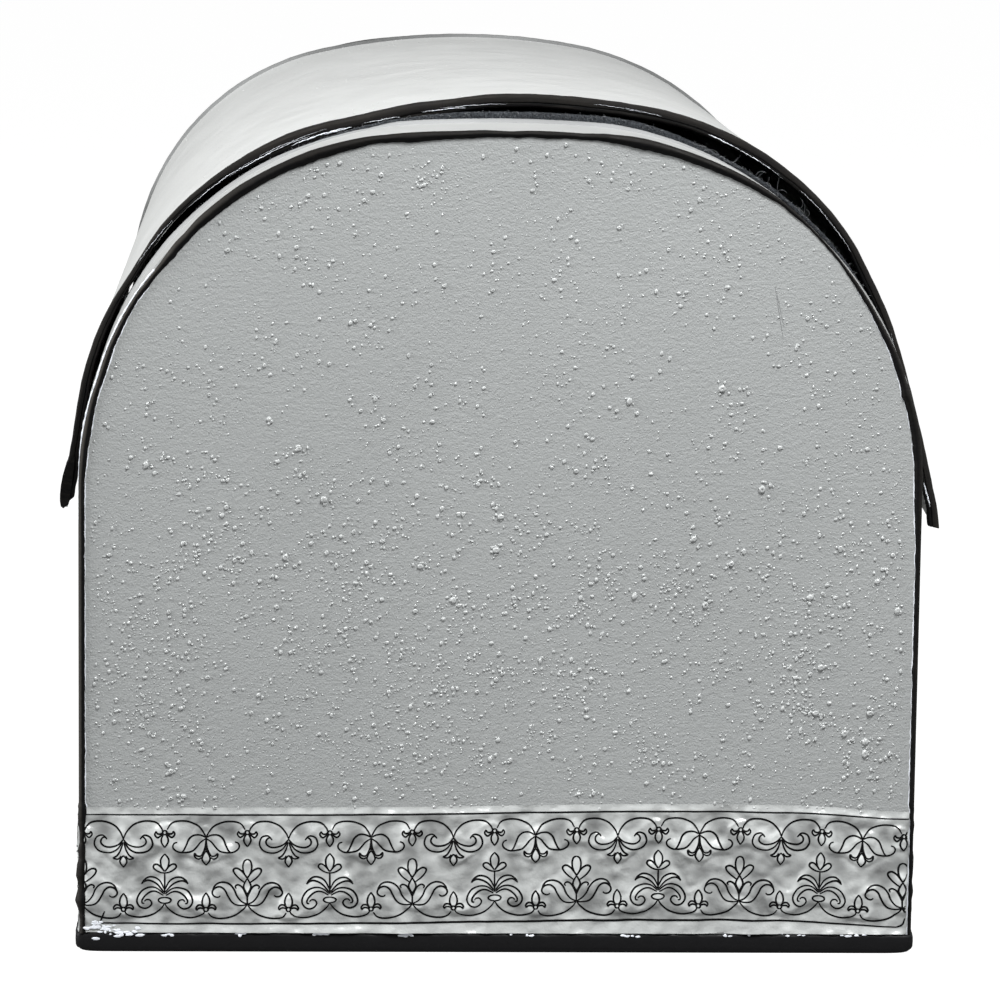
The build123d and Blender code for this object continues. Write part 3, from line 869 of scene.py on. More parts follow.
def blister_field(count, seed, hand_placed):
    """Places and radii: chance ones by density, then listed ones as little groups of lobes.

    The density is the sum of a floor and two bells over the height, times a cloudy factor that makes
    the crowds.
    """
    chance = np.random.default_rng(seed)
    tries = 9 * count
    x = chance.uniform(-body_half, body_half, tries)
    z = chance.uniform(body_foot + 30, body_top, tries)
    density = 0.2 + 0.8 * np.exp(-((z - 72) / 42) ** 2) + 0.12 * np.exp(-((z - 180) / 14) ** 2)
    last = 127
    crowds = clouds((last + 1, last + 1), 1.8, seed + 1)
    column = ((x + body_half) / (2 * body_half) * last).astype(int)
    crowd = crowds[column, (z / body_top * last).astype(int)]
    kept = (chance.uniform(0, 1, tries) < density * np.exp(0.6 * crowd - 0.8)) & within_panel(x, z, 3.0)
    x, z = x[kept][:count], z[kept][:count]
    radius = 0.18 + 0.17 * chance.uniform(0, 1, len(x)) + 0.33 * chance.uniform(0, 1, len(x)) ** 3.5
    if hand_placed:
        for spots, size, lobes in ((large_blisters, 0.78, 6), (medium_blisters, 0.52, 3)):
            middle = np.repeat(np.array(spots, float), lobes, axis=0)
            away = chance.normal(0, 0.85 * size, middle.shape)
            away[::lobes] = 0
            x = np.concatenate([x, middle[:, 0] + away[:, 0]])
            z = np.concatenate([z, middle[:, 1] + away[:, 1]])
            lobe = size * chance.uniform(0.35, 0.7, len(middle))
            lobe[::lobes] = size * chance.uniform(0.9, 1.3, len(spots))
            radius = np.concatenate([radius, lobe])
    kept = within_panel(x, z, 2.6)
    return x[kept], z[kept], radius[kept], chance


for name, sign, count, seed, hand_placed in (("near", -1, 3900, 101, True), ("far", 1, 1200, 111, False)):
    x, z, radius, chance = blister_field(count, seed, hand_placed)
    px, pz, up = domes(x, z, radius, radius * 0.74, chance)
    points = np.stack([px, sign * (-panel_face + up), pz], -1)
    add_piece(f"{name}_blisters", tubes(points), highlit_blister_paint, "box", sharp=180)

# %% [markdown]
# ## Grains
#
# Between the blisters the paint holds grains of a tenth to a third of a millimetre, and a few stand on
# the lid's crown too. They are the same domes with fewer rings. On the lid each one is turned square
# to the sheet by the outline's normal.

# %% Grains between the blisters, and a few on the lid
grain_share, grain_sides = (1.0, 0.7, 0.3), 5
x, z, radius, chance = blister_field(5200, 121, False)
radius = radius * 0.55
px, pz, up = domes(x, z, radius, radius * 0.6, chance, grain_share, grain_sides)
points = np.stack([px, panel_face - up, pz], -1)
add_piece("near_grains", tubes(points), highlit_blister_paint, "box", sharp=180)


def lid_grains(count, seed):
    """Grains on the lid's crown: each is set on the sheet's outer face, square to it."""
    chance = np.random.default_rng(seed)
    y = chance.uniform(-lid_end + 3, lid_end - 3, count)
    line, normal = lid_lines(y, rim_proud)
    pick = np.clip(chance.normal(80, 18, count), 12, 190).astype(int)
    spot, out = line[np.arange(count), pick], normal[np.arange(count), pick]
    radius = 0.15 + 0.2 * chance.uniform(0, 1, count) ** 2
    centre = np.zeros(count)
    side, length, up = domes(centre, centre, radius, 0.3 * radius, chance, grain_share, grain_sides)
    x = spot[:, 0, None, None] + side * out[:, 1, None, None] + up * out[:, 0, None, None]
    z = spot[:, 1, None, None] - side * out[:, 0, None, None] + up * out[:, 1, None, None]
    return tubes(np.stack([x, y[:, None, None] + length, z], -1))


add_piece("lid_grains", lid_grains(500, 125), lid_paint, "lid", sharp=180)

# %% [markdown]
# ## Scratches
#
# Three fine scratches near the top of the near panel show as darker lines. Each is a sliver
# that tapers at its ends, laid a hair above the paint.

# %% Scratches on the near panel
def scratches(routes):
    """Fine furrows: (x, z) at both ends, and the width of a sliver that tapers at its ends."""
    parts = []
    for x0, z0, x1, z1, width in routes:
        t = np.linspace(0, 1, 12)
        half = 0.5 * width * np.sin(np.pi * np.clip(t, 0.03, 1)) ** 0.5
        spine = np.stack([x0 + (x1 - x0) * t, z0 + (z1 - z0) * t], -1)
        away = np.array([z1 - z0, x0 - x1]) / math.hypot(x1 - x0, z1 - z0)
        points = spine[:, None] + (half[:, None] * np.array([1, 0, -1, 0]))[..., None] * away
        parts.append(tube(placed(points, panel_face - np.array([[0.01, 0.05, 0.01, -0.1]]))))
    return joined(parts)


scratch_routes = [(64.0, 161.5, 66.2, 149.0, 0.22), (64.4, 160.0, 66.3, 152.0, 0.15),
                  (51.5, 171.5, 52.4, 167.0, 0.2)]
scratch_grey = satin_paint("dark_scratch_line", (0.16, 0.165, 0.165), 0.00003, 0.00003, 0.3)
add_piece("panel_scratches", scratches(scratch_routes), scratch_grey, "box")

# %% [markdown]
# ## Ornamental border
#
# A pressed strip runs round the foot: scrolls, bell flowers, palmettes and tulips that take turns
# between two lines, all drawn with one thin dark line. One half of each motif is drawn here as a few
# strokes through listed points, in millimetres from the motif's axis and from the lower line, and
# the other half is its mirror image. A smooth curve through the points makes the stroke.

# %% Smooth strokes
def smooth_line(points, steps=5):
    """Smooth curve through points: spans are cubics that start along half the chord of the neighbours.

    A span from b to c, with a before it and d after it, is half of 2 b + (c - a) t
    + (2 a - 5 b + 4 c - d) t^2 + (3 b - a - 3 c + d) t^3.
    """
    p = np.array(points, float)
    p = np.vstack([2 * p[0] - p[1], p, 2 * p[-1] - p[-2]])
    t = np.linspace(0, 1, steps, endpoint=False)[None, :, None]
    a, b, c, d = (p[k:len(p) - 3 + k, None] for k in range(4))
    curve = 2 * b + (c - a) * t + (2 * a - 5 * b + 4 * c - d) * t ** 2 + (3 * b - a - 3 * c + d) * t ** 3
    return np.vstack([0.5 * curve.reshape(-1, 2), p[-2]])


def half_ring(centre, wide, high):
    """Right half of an upright oval about the axis."""
    angle = np.linspace(0, np.pi, 7)
    return list(zip(wide * np.sin(angle), centre + high * np.cos(angle)))


print("points of a stroke through 4 points:", len(smooth_line([(0, 0), (1, 2), (3, 2), (4, 0)])))

# %% Upper motifs
scroll_bell = [
    [(0, 20.7), (0.65, 22.15), (2.2, 23.8), (4.3, 24.65), (6.35, 24.75), (7.9, 24.35), (8.95, 23.3),
     (9.2, 22.6)],
    [(0, 20.6), (1.05, 19.45), (2.45, 18.8), (4, 18.65), (5.05, 19.2), (5.35, 19.95), (5.05, 20.7),
     (4.4, 21), (3.9, 20.45)],
    [(0.2, 20.4), (0.65, 19.3), (1.55, 18.15), (3, 17.35), (4.55, 17.25), (5.95, 17.75), (6.75, 18.8),
     (6.85, 19.8), (6.35, 21), (5.3, 21.45), (4.55, 21.25), (3.9, 20.45)],
    [(0.1, 19.9), (0.4, 18.8), (0.85, 17.6), (1.55, 16.6), (2.4, 16), (1.55, 15.8), (1, 16), (0.55, 16.6)],
    [(0, 16.7), (0.7, 15.8), (0.75, 14.9), (0, 13.65)],
]
leafed_bell = [
    [(0, 21), (0.65, 22.3), (1.55, 23.45), (2.85, 24.2), (4.65, 24.75), (6.75, 24.75), (8.3, 24.2),
     (9.2, 22.9)],
    [(0.1, 21.05), (1.4, 21.6), (2.85, 21.5), (4, 20.6), (4.65, 19.15), (5.3, 17.85), (5.8, 17.35)],
    [(0.1, 20.7), (1.3, 19.85), (2.2, 18.7), (3.25, 17.7), (4.8, 17.35), (6.35, 17.35), (7.5, 18),
     (7.85, 18.85), (7.5, 19.55), (6.8, 19.8)],
    [(0, 21), (0, 17.8)],
    [(0.05, 20.4), (0.15, 19), (0.4, 18), (0.8, 17.1), (1.1, 16.6)],
    [(1, 16.65), (1.55, 16.45), (2.2, 16.6), (2.7, 17.1), (2.7, 16.4), (2.35, 15.95), (1.7, 15.8),
     (1.1, 16.1)],
    [(0, 17.75), (0.6, 16.9), (0.95, 15.9), (0.7, 15.1), (0, 14.2)],
]
hanging_fleur = [
    half_ring(22.2, 0.5, 0.5),
    [(0.45, 21.9), (1, 21.4), (1.65, 21), (2.2, 21.4), (2.35, 21.9), (2, 22.5)],
    [(0.45, 22.2), (1.1, 21.85), (1.75, 21.95), (2, 22.45)],
    [(0.3, 21.7), (0.8, 20.7), (0.7, 19.7), (0, 18.6)],
]
print("strokes of the upper motifs:", len(scroll_bell) + len(leafed_bell) + len(hanging_fleur))

# %% Lower motifs
palmette = [
    [(0, 17), (0.75, 16.1), (1, 15.2), (0.75, 13.9), (0.05, 12.8)],
    [(0.1, 12.8), (0.9, 13.85), (1.7, 14.5), (2.45, 14.4), (2.7, 13.75), (2.05, 13.1), (1.05, 12.6),
     (0.05, 12.4)],
    [(0, 12.6), (0, 7.4)],
    [(0.1, 8.6), (1.05, 10.35), (2.35, 11.25), (3.75, 11.35), (4.9, 10.6), (5.5, 9.6)],
    [(0.2, 7.9), (1.55, 9.45), (2.85, 10.25), (4, 10.55), (4.9, 10.2), (5.5, 9.6)],
    [(0.2, 7.5), (1.8, 8.7), (3.6, 8.85), (5.3, 8.05), (6.35, 6.6), (6.55, 5.3), (5.85, 4.15),
     (4.65, 3.7), (3.6, 4.15), (3.1, 5), (3.5, 5.8), (4.3, 5.95), (4.8, 5.5)],
    [(0.3, 7.1), (1.95, 7.95), (3.35, 7.8), (4.65, 6.85), (5.35, 5.8), (5.3, 5.1), (4.8, 5)],
    half_ring(5.9, 1.5, 0.72),
    [(0.05, 5.1), (0.9, 3.75), (2.45, 2.45), (4.3, 1.75), (6.1, 1.5), (7.9, 1.8), (9.05, 2.45),
     (9.45, 3.2)],
]
tulip = [
    [(0.05, 4.75), (1.15, 4.5), (2.7, 4.6), (3.75, 5.35), (4.65, 6.9), (5.3, 8.2), (6.35, 8.95),
     (7.4, 8.8), (8.15, 8.1), (8.25, 7.3), (7.65, 6.65), (6.85, 6.5), (6.35, 6.85)],
    [(0.15, 4.85), (1.4, 5.5), (2.45, 6.8), (3.1, 8.35), (4.15, 9.5), (5.6, 10), (7, 9.75), (7.9, 8.85),
     (8.25, 7.8)],
    [(0.05, 6.5), (0.65, 7.95), (1.3, 9.05), (2.2, 9.5), (2.85, 9.1), (2.6, 8.6)],
    [(0, 4.7), (0, 7.4)],
    [(0, 7.3), (0.7, 8.5), (0.85, 9.3), (0.5, 10.2), (0, 11.1)],
    [(0.7, 10.1), (2.2, 11.25), (3.15, 12.35), (3.25, 13.15), (2.45, 13.5), (1.4, 13), (0.55, 11.95),
     (0.1, 11.2)],
    [(0, 11.2), (0.75, 12.4), (1.05, 13.9), (0.75, 15.2), (0, 15.65)],
    [(0.1, 4.6), (1.15, 3.3), (2.7, 2.1), (4.8, 1.4), (6.85, 1.2), (8.4, 1.65), (9.2, 2.7)],
]
standing_fleur = [
    half_ring(3.55, 0.5, 0.5),
    [(0.35, 4), (0.75, 4.6), (0.9, 5.4), (0.65, 6.5), (0, 7.45)],
    [(0.45, 3.95), (1.1, 4.6), (1.85, 4.6), (2.35, 3.95), (2.2, 3.35)],
    [(0.5, 3.7), (1.25, 3.95), (1.85, 3.8), (2.2, 3.35)],
]
print("strokes of the lower motifs:", len(palmette) + len(tulip) + len(standing_fleur))

# %% [markdown]
# ## A row of motifs
#
# The upper motifs stand one pitch apart, the lower ones half a pitch further on, and the two kinds of
# each take turns. Strokes that cross the end of a strip are cut off there. Two long lines and a short
# stroke at each end frame the row.

# %% All strokes of a band
line_gap = 26.6            # from the lower line to the upper one
line_low = 2.4             # from the band's lower edge to the lower line
motif_pitch = 19.7         # from one upper motif to the next
drawn_pitch = 19.5         # the pitch that the strokes above were drawn at


def inside(stroke, half_length):
    """The runs of a stroke that lie within the band's ends."""
    kept = np.abs(stroke[:, 0]) < half_length
    breaks = np.flatnonzero(np.diff(kept.astype(int))) + 1
    runs = zip(np.split(stroke, breaks), np.split(kept, breaks))
    return [run for run, keep in runs if keep[0] and len(run) > 2]


def motif_strokes(first, half_length):
    """The motifs' strokes: upper motifs at first + k pitch, and the lower ones half a pitch on."""
    scale = motif_pitch / drawn_pitch
    strokes = []
    count = int((half_length - first) / motif_pitch) + 2
    for k in range(-1, count):
        axis = first + k * motif_pitch
        between = axis + motif_pitch / 2
        upper = scroll_bell if k % 2 == 0 else leafed_bell
        lower = palmette if k % 2 == 0 else tulip
        for motif, middle in ((upper, axis), (standing_fleur, axis), (hanging_fleur, between),
                              (lower, between)):
            for points in motif:
                half = smooth_line(points) * scale
                strokes.append(half + (middle, 0))
                if np.ptp(half[:, 0]) > 0:
                    strokes.append(half * (-1, 1) + (middle, 0))
    return [run for stroke in strokes for run in inside(stroke, half_length - 0.3)]


def framing_strokes(half_length, seed):
    """The upper line, the lower one, which wavers a little, and a short stroke at each end."""
    steps = int(2 * half_length / 0.5)
    left_end, right_end = 4.1 - half_length, half_length - 2.2
    upper = np.linspace(-half_length, half_length, steps)
    lower = np.linspace(left_end, right_end, steps)
    return [np.stack([upper, np.full(steps, line_gap)], -1),
            np.stack([lower, waves(lower, seed, (40, 15), 0.03)], -1),
            np.linspace((left_end, 0), (left_end + 1.15, 2.9), 6),
            smooth_line([(right_end, 0), (right_end + 1.2, 0.7), (right_end + 1.7, 2.2)])]


print("strokes within 100 mm of the middle:", len(motif_strokes(-89.3, 100)))

# %% [markdown]
# ## Relief of the border
#
# The strip was pressed from behind, so the ground swells between the drawn lines and dips along them.
# The strokes are marked on a grid of cells and blurred: widely for the swelling, narrowly for the
# petals and for the dip. Chance clouds make it as uneven as a pressed strip under thick paint. The
# tone is painted lighter on the swellings and petals, a painted highlight of the relief, and darker
# between them as painted shade, with chance clouds of tone on top.

# %% Relief and tone
def cell_of(points, half_length, shape):
    """Row and column, with fractions, of points (u, v) on the band's grid."""
    row = (points[..., 0] + half_length) / (2 * half_length) * (shape[0] - 1)
    return row, points[..., 1] / border_height * (shape[1] - 1)


def relief(strokes, half_length, cell, u, v, seed):
    """Height of the pressed strip in millimetres and its tone from 0 to 1, painted highlight on the
    swellings and petals and painted shade between them, on the grid u by v.
    """
    shape = (len(u), len(v))
    spots = np.vstack(strokes) + (0, line_low)
    cells = np.stack(cell_of(spots, half_length, shape), -1).round().astype(int)
    cells = np.clip(cells, 0, np.array(shape) - 1)
    ink = np.zeros(shape)
    ink[cells[:, 0], cells[:, 1]] = 1
    near_line = blurred(ink, 0.35 / cell)
    filled = blurred(ink, 1.4 / cell)
    filled = filled / np.percentile(filled, 96) * (1 + 0.25 * clouds(shape, 2.0 / cell, seed))
    puff = smoothstep((filled - 0.3) / 0.45)
    petals = blurred(ink, 0.6 / cell)
    petals = smoothstep((petals / np.percentile(petals, 99) - 0.35) / 0.4)
    height = 0.5 + 0.62 * puff + 0.14 * petals + 0.17 * clouds(shape, 1.9 / cell, seed + 1)
    height = height - 0.16 * near_line / np.percentile(near_line, 99)
    height = height + 0.03 * clouds(shape, 0.7 / cell, seed + 2)
    margin = np.maximum(smoothstep((v - line_low - line_gap) / 0.5), smoothstep((line_low - v) / 0.5))
    # Painted light: the tone is lighter on the swellings and petals and darker between them.
    tone = 0.44 + 0.22 * (puff - 0.5) + 0.25 * petals + 0.16 * clouds(shape, 1.6 / cell, seed + 3)
    tone = tone + 0.05 * clouds(shape, 0.6 / cell, seed + 4)
    tone = np.clip(tone * (1 - margin) + 0.5 * margin, 0.02, 0.98)
    turned_up = 0.55 * (1 - smoothstep(v / 2.2))
    return np.clip(height, 0.02, 1.6) + turned_up[None], tone


def edge_fade(u, v, half_length):
    """0 at the band's edges and 1 within them, so that the relief runs out flat."""
    along_u = smoothstep((half_length - np.abs(u)) / 0.9)
    along_v = np.minimum(smoothstep(v / 0.25 + 0.3), smoothstep((border_height - v) / 2.4))
    return along_u[:, None] * along_v[None]


def band_lift(u, bow):
    """How far the hand-laid band rises above straight: a wide bell less a droop at the right end."""
    return bow * (1.3 * np.exp(-((u - 45) / 60) ** 2) - smoothstep((u - 72) / 26))


def laid(u, v, height, half_length, bow, place):
    """Points (u, v, height) of the band bent as it was laid; motifs stay square to its slope."""
    slope = band_lift(u + 0.5, bow) - band_lift(u - 0.5, bow)
    shift = 0.6 * slope * (line_gap - v) * smoothstep((half_length - np.abs(u)) / 3)
    return place(u + shift, body_foot + v + band_lift(u, bow) * smoothstep(v / 2.5), height)


print("the band rises by", round(float(band_lift(np.arange(100.0), 1.0).max()), 2), "mm where it bows")

# %% [markdown]
# ## Lines of the border
#
# Each stroke is a thin ribbon that follows the relief below it: at its middle it stands a little
# higher than at its edges, and its foot is sunk into the strip. Its width swells in the middle, as a
# pen's line does.

# %% Drawn lines
line_width, line_spread = 0.41, 0.08


def height_under(points, height, half_length):
    """The grid's height at points (u, v): shares of the four cells round each."""
    row, column = cell_of(points, half_length, height.shape)
    r = np.clip(row.astype(int), 0, height.shape[0] - 2)
    c = np.clip(column.astype(int), 0, height.shape[1] - 2)
    fr, fc = row - r, column - c
    return (height[r, c] * (1 - fr) * (1 - fc) + height[r + 1, c] * fr * (1 - fc)
            + height[r, c + 1] * (1 - fr) * fc + height[r + 1, c + 1] * fr * fc)


def ribbon(stroke, wide, height, half_length):
    """A stroke's section at each point, (u, v) and height: left edge, ridge, right edge and foot."""
    tangent = np.gradient(stroke, axis=0)
    tangent /= np.linalg.norm(tangent, axis=1, keepdims=True) + 1e-9
    side = tangent[:, ::-1] * (-1, 1)
    t = np.linspace(0, 1, len(stroke))
    half = 0.5 * wide * (0.65 + 0.35 * np.sin(np.pi * t) ** 0.5)
    centre = stroke + (0, line_low)
    section = np.stack([centre + side * half[:, None], centre, centre - side * half[:, None], centre], 1)
    return section, height_under(section, height, half_length) + np.array([0.05, 0.11, 0.05, -0.15])


print(f"a line is {line_width:.2f} to {line_width + line_spread:.2f} mm wide")

# %% [markdown]
# ## The four border strips
#
# The near strip is bowed as the photograph shows it. The other three are the same ornament on the
# sides that can't be seen, a little flatter and coarser. A small function puts each strip on its side
# of the box.

# %% Border strips
def border_finish():
    """Glossy grey paint over the pressed strip: the strip's own map carries its painted highlight and
    shade.
    """
    colour = (0.385, 0.398, 0.394)
    material, tree, shader = new_material("border_grey_paint_painted_light", colour, 0.3, 0.55)
    tones = [(0.0, shade(colour, 0.5)), (0.45, colour), (1.0, shade(colour, 1.5))]
    tree.links.new(ramp(tree, across(tree, 1.0), tones), shader.inputs["Base Color"])
    first = bump(tree, noise(tree, 0.0032, 0), 0.0011)
    second = bump(tree, noise(tree, 0.0014, 1), 0.00016, first)
    tree.links.new(bump(tree, noise(tree, 0.0004, 2), 0.00006, second), shader.inputs["Normal"])
    return material


border_paint_with_painted_light = border_finish()
line_black = brushed_black("drawn_black_line", (0.012, 0.012, 0.012))


def border(name, half_length, first, cell, bow, tall, seed, place):
    """Relief strip and its drawn lines, as two pieces; place turns (u, z, height) into the frame.

    first is an upper motif's axis, cell the grid's step, bow bends the strip as it was laid by hand,
    and tall scales its relief.
    """
    u = np.linspace(-half_length, half_length, int(2 * half_length / cell))
    v = np.linspace(0, border_height, int(border_height / cell))
    motifs = motif_strokes(first, half_length)
    strokes = motifs + framing_strokes(half_length, seed)
    raised, tone = relief(motifs, half_length, cell, u, v, seed)
    height = 0.06 + tall * raised * edge_fade(u, v, half_length)
    uu, vv = np.meshgrid(u, v, indexing="ij")
    ends = [-1, 0]
    front = laid(uu, vv, height, half_length, bow, place)
    back = laid(uu[:, ends], vv[:, ends], np.full((len(u), 2), 0.02), half_length, bow, place)
    uv = np.stack([uu * MM, tone], -1)
    uv = np.concatenate([uv, uv[:, ends]], axis=1).reshape(-1, 2)
    add_piece(name + "_relief", tube(np.concatenate([front, back], axis=1)), border_paint_with_painted_light, "box",
              [name + "_band"], uv, sharp=60)
    chance = np.random.default_rng(seed + 5)
    ribbons = []
    for stroke in strokes:
        wide = line_width + line_spread * chance.uniform()
        section, lift = ribbon(stroke, wide, height, half_length)
        ribbons.append(tube(laid(section[..., 0], section[..., 1], lift, half_length, bow, place)))
    add_piece(name + "_lines", joined(ribbons), line_black, "box")


end_half = body_half - 0.9
side_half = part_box("front_border_band")[1].y / MM
border("near_border", end_half, -89.3, 0.31, 1.0, 1.0, 41,
       lambda u, z, height: np.stack([u, panel_face - height, z], -1))
border("far_border", end_half, -88.0, 0.4, -0.5, 0.5, 51,
       lambda u, z, height: np.stack([-u, -panel_face + height, z], -1))
border("front_border", side_half, -174.0, 0.5, 0.4, 0.4, 61,
       lambda u, z, height: np.stack([-body_half - height, -u, z], -1))
border("back_border", side_half, -171.0, 0.5, -0.3, 0.4, 71,
       lambda u, z, height: np.stack([body_half + height, u, z], -1))

# %% [markdown]
# ## Base pan
#
# The floor is a shallow pan whose turned-up rim holds the feet of the walls. It was painted last, with
# a loaded brush, so its upper edge wavers over the border. Its mesh is a set of rings round the box,
# from the middle of the underside out over the foot and the rim, and back in on the floor.

# %% Base pan with its black paint
def rounded_rectangle(half_x, half_y, corner, step):
    """Points at even steps round a rectangle with rounded corners, outward normals and distances."""
    quarter = np.linspace(0, np.pi / 2, 9)
    parts = []
    turn = 0.0
    for centre_x, centre_y in ((1, 1), (-1, 1), (-1, -1), (1, -1)):
        angle = turn + quarter
        parts.append(np.stack([centre_x * (half_x - corner) + corner * np.cos(angle),
                               centre_y * (half_y - corner) + corner * np.sin(angle)], -1))
        turn += np.pi / 2
    corners = np.vstack(parts + [parts[0][:1]])
    reach = distances(corners)
    along = np.linspace(0, reach[-1], int(reach[-1] / step), endpoint=False)
    points = read_at(along, reach, corners)
    slope = np.roll(points, -1, 0) - np.roll(points, 1, 0)
    slope /= np.linalg.norm(slope, axis=1, keepdims=True)
    return points, np.stack([slope[:, 1], -slope[:, 0]], -1), along


def painted_pan():
    """Each ring is the box's outline moved outwards by a reach and lifted to a height.

    Waves whose lengths divide the whole way round lift the rim, and at the corners the paint draws
    back and up: there the sum of x and y, as shares of the half sizes, comes near two.
    """
    half_x, half_y = (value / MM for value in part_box("base_pan")[1].xy)
    points, normal, along = rounded_rectangle(half_x, half_y, 1.2, 0.8)
    rates = 2 * np.pi * np.round(along[-1] / np.array([14.0, 5.3, 2.9])) / along[-1]
    chance = np.random.default_rng(131)
    wave = sum(np.sin(rate * along + chance.uniform(0, 6)) for rate in rates) / 3
    corner = np.exp((np.abs(points[:, 0]) / half_x + np.abs(points[:, 1]) / half_y - 2) / 0.014)
    out = np.array([-3.0, -0.6, -0.1, 0.1, 0.2, 0.22, 0.18, 0.02, -0.35, -0.75, -0.85, -0.85])
    z = np.array([0.0, 0.0, 0.06, 0.4, 1.4, 2.7, 3.8, 4.45, 4.62, 4.5, 3.9, 0.8])
    top_share = smoothstep((z - 2.8) / 1.6)
    bottom_share = np.clip(1 - z / 1.6, 0, 1)
    rows = []
    for reach, height, rise, fall in zip(out, z, top_share, bottom_share):
        flat = points + (reach + 0.12 * wave * rise - corner * (0.3 + 0.7 * fall))[:, None] * normal
        level = height + 0.28 * wave * rise + 1.1 * corner * fall
        rows.append(np.stack([flat[:, 0], flat[:, 1], level], -1))
    return tube(np.stack(rows))


add_piece("base_pan_painted", painted_pan(), foot_black, "box", ["base_pan"], sharp=180)

# %% [markdown]
# ## Chips in the foot
#
# White undercoat shows where the brush missed the foot, most of all at its left corner. The chips are
# flat flakes, the blisters' domes pulled out sideways, and stand in groups where the photograph shows
# them.

# %% Chips where the undercoat shows
def foot_chips(groups, seed):
    """Flat flakes on the near side of the foot: (x, z, spread along x, spread along z, number, size)."""
    chance = np.random.default_rng(seed)
    x = np.concatenate([chance.normal(x, spread_x, n) for x, _, spread_x, _, n, _ in groups])
    z = np.concatenate([chance.normal(z, spread_z, n) for _, z, _, spread_z, n, _ in groups])
    radius = np.concatenate([size * chance.uniform(0.4, 1.2, n) for _, _, _, _, n, size in groups])
    px, pz, up = domes(x, z, radius, np.full(len(x), 0.05), chance, sides=9)
    reach = chance.uniform(1.2, 3.0, (len(x), 1, 1)) * (1 + 0.3 * chance.uniform(-1, 1, (len(x), 1, 9)))
    px = x[:, None, None] + (px - x[:, None, None]) * reach
    face = panel_face - 0.95 - 0.12 * np.clip((5.2 - pz) / 1.0, -1, 1)
    return tubes(np.stack([px, face - up, pz], -1))


chip_groups = [(-95.5, 6.2, 1.3, 0.8, 18, 0.42), (-91, 5.0, 2.4, 0.5, 24, 0.4),
               (-86, 4.4, 0.9, 0.25, 4, 0.36), (-79, 4.4, 0.9, 0.2, 4, 0.4), (-61, 4.5, 1.0, 0.25, 5, 0.4),
               (-42, 4.4, 1.1, 0.2, 5, 0.36), (-21, 4.5, 1.4, 0.25, 6, 0.36), (8, 4.4, 1.3, 0.2, 3, 0.3),
               (33, 4.4, 2.2, 0.2, 4, 0.3), (55, 4.4, 1.8, 0.2, 3, 0.28), (70, 4.5, 4.0, 0.2, 5, 0.26),
               (90, 4.6, 3.0, 0.2, 4, 0.26)]
add_piece("foot_chips", foot_chips(chip_groups, 141), primer, "box", sharp=180)

# %% [markdown]
# ## Felt strips
#
# A strip of dark felt is glued across each arched band, where the lid's rim comes down on it. Its
# faces are roughened by chance, and it is thin where the lid presses on it. Short fibres stand on its
# front edge, and a few long ones have come loose on the right.

# %% Felt
felt_station = 146.0       # how far from the middle the sheet is measured above the felt


def felt(sign, seed):
    """Strip along the body's arch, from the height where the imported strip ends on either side.

    Its thickness is at most what the gap below the lid sheet leaves: the least distance from each point
    of the body's outline to the sheet's inner line. The near one is thickest right of the middle.
    """
    low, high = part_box("near_seat_strip")
    y_front, y_back = -low.y / MM, -high.y / MM
    along, line, normal, _ = arc_line(2400)
    kept = line[:, 1] > low.z / MM
    along, line, normal = along[kept], line[kept], normal[kept]
    sheet = lid_lines(np.array([sign * felt_station]), rim_proud + sheet_thick)[0][0]
    gap = np.linalg.norm(line[:, None] - sheet[None], axis=2).min(axis=1)
    thick = np.full(len(line), 1.3)
    if sign < 0:
        thick = 0.3 + 1.9 * smoothstep((line[:, 0] + 45) / 40) - 1.2 * smoothstep((line[:, 0] - 30) / 25)
    thick = np.clip(thick, 0.05, gap - 0.35)
    thick = thick + waves(along, seed, (20, 8, 3), 0.07) * (thick > 0.5)
    share = np.array([0.0, 0.35, 0.75, 1.0, 1.0, 1.0, 1.0, 1.0, 0.6, 0.0])
    depth = np.array([0.1, 0.0, 0.05, 0.35, 1.0, 1.9, 6.0, 12.5, 13.0, 13.0])
    rough = np.random.default_rng(seed).uniform(-1, 1, (2, len(along), len(share)))
    offset = 0.05 + share[None] * thick[:, None] + 0.07 * rough[0] * (share > 0)
    y = y_front - depth[None] * (y_front - y_back) / depth[-1] + 0.16 * rough[1] * (depth < 3)
    points = line[:, None] + offset[..., None] * normal[:, None]
    return tube(placed(points, sign * y)), line, normal, thick, y_front


def fibres(line, normal, thick, y_front, sign, seed, count, long_places):
    """Thin three-sided tubes that start on the felt's front edge and curl away at chance."""
    chance = np.random.default_rng(seed)
    picks = chance.integers(0, len(line), count)
    lengths = chance.uniform(0.3, 0.9, count)
    for place in long_places:
        near = np.argsort(np.abs(line[:, 0] - place))[:3]
        picks = np.concatenate([picks, near])
        lengths = np.concatenate([lengths, chance.uniform(1.6, 3.4, 3)])
    parts = []
    t = np.linspace(0, 1, 7)
    around = np.array([0, 2.1, 4.2])
    section = np.stack([np.cos(around), np.sin(around + 1.0), np.sin(around)], -1)
    radius = 0.055 * (1 - 0.5 * t)
    for pick, length in zip(picks, lengths):
        lean, curl, roll = chance.uniform(-0.9, 0.9), chance.uniform(-2.6, 2.6), chance.uniform(-0.5, 0.7)
        angle = lean + curl * t * min(length, 1.6)
        n = normal[pick]
        s = np.array([n[1], -n[0]])
        run = np.cumsum(np.stack([np.sin(angle), np.cos(angle)], -1) * length / (len(t) - 1), axis=0)
        flat = line[pick] + thick[pick] * n * chance.uniform(0.4, 1) + run[:, :1] * s + run[:, 1:] * n
        y = y_front + 0.1 + roll * length * t * 0.6
        centre = np.stack([flat[:, 0], sign * y, flat[:, 1]], -1)
        parts.append(tube(centre[:, None] + radius[:, None, None] * section))
    return joined(parts)


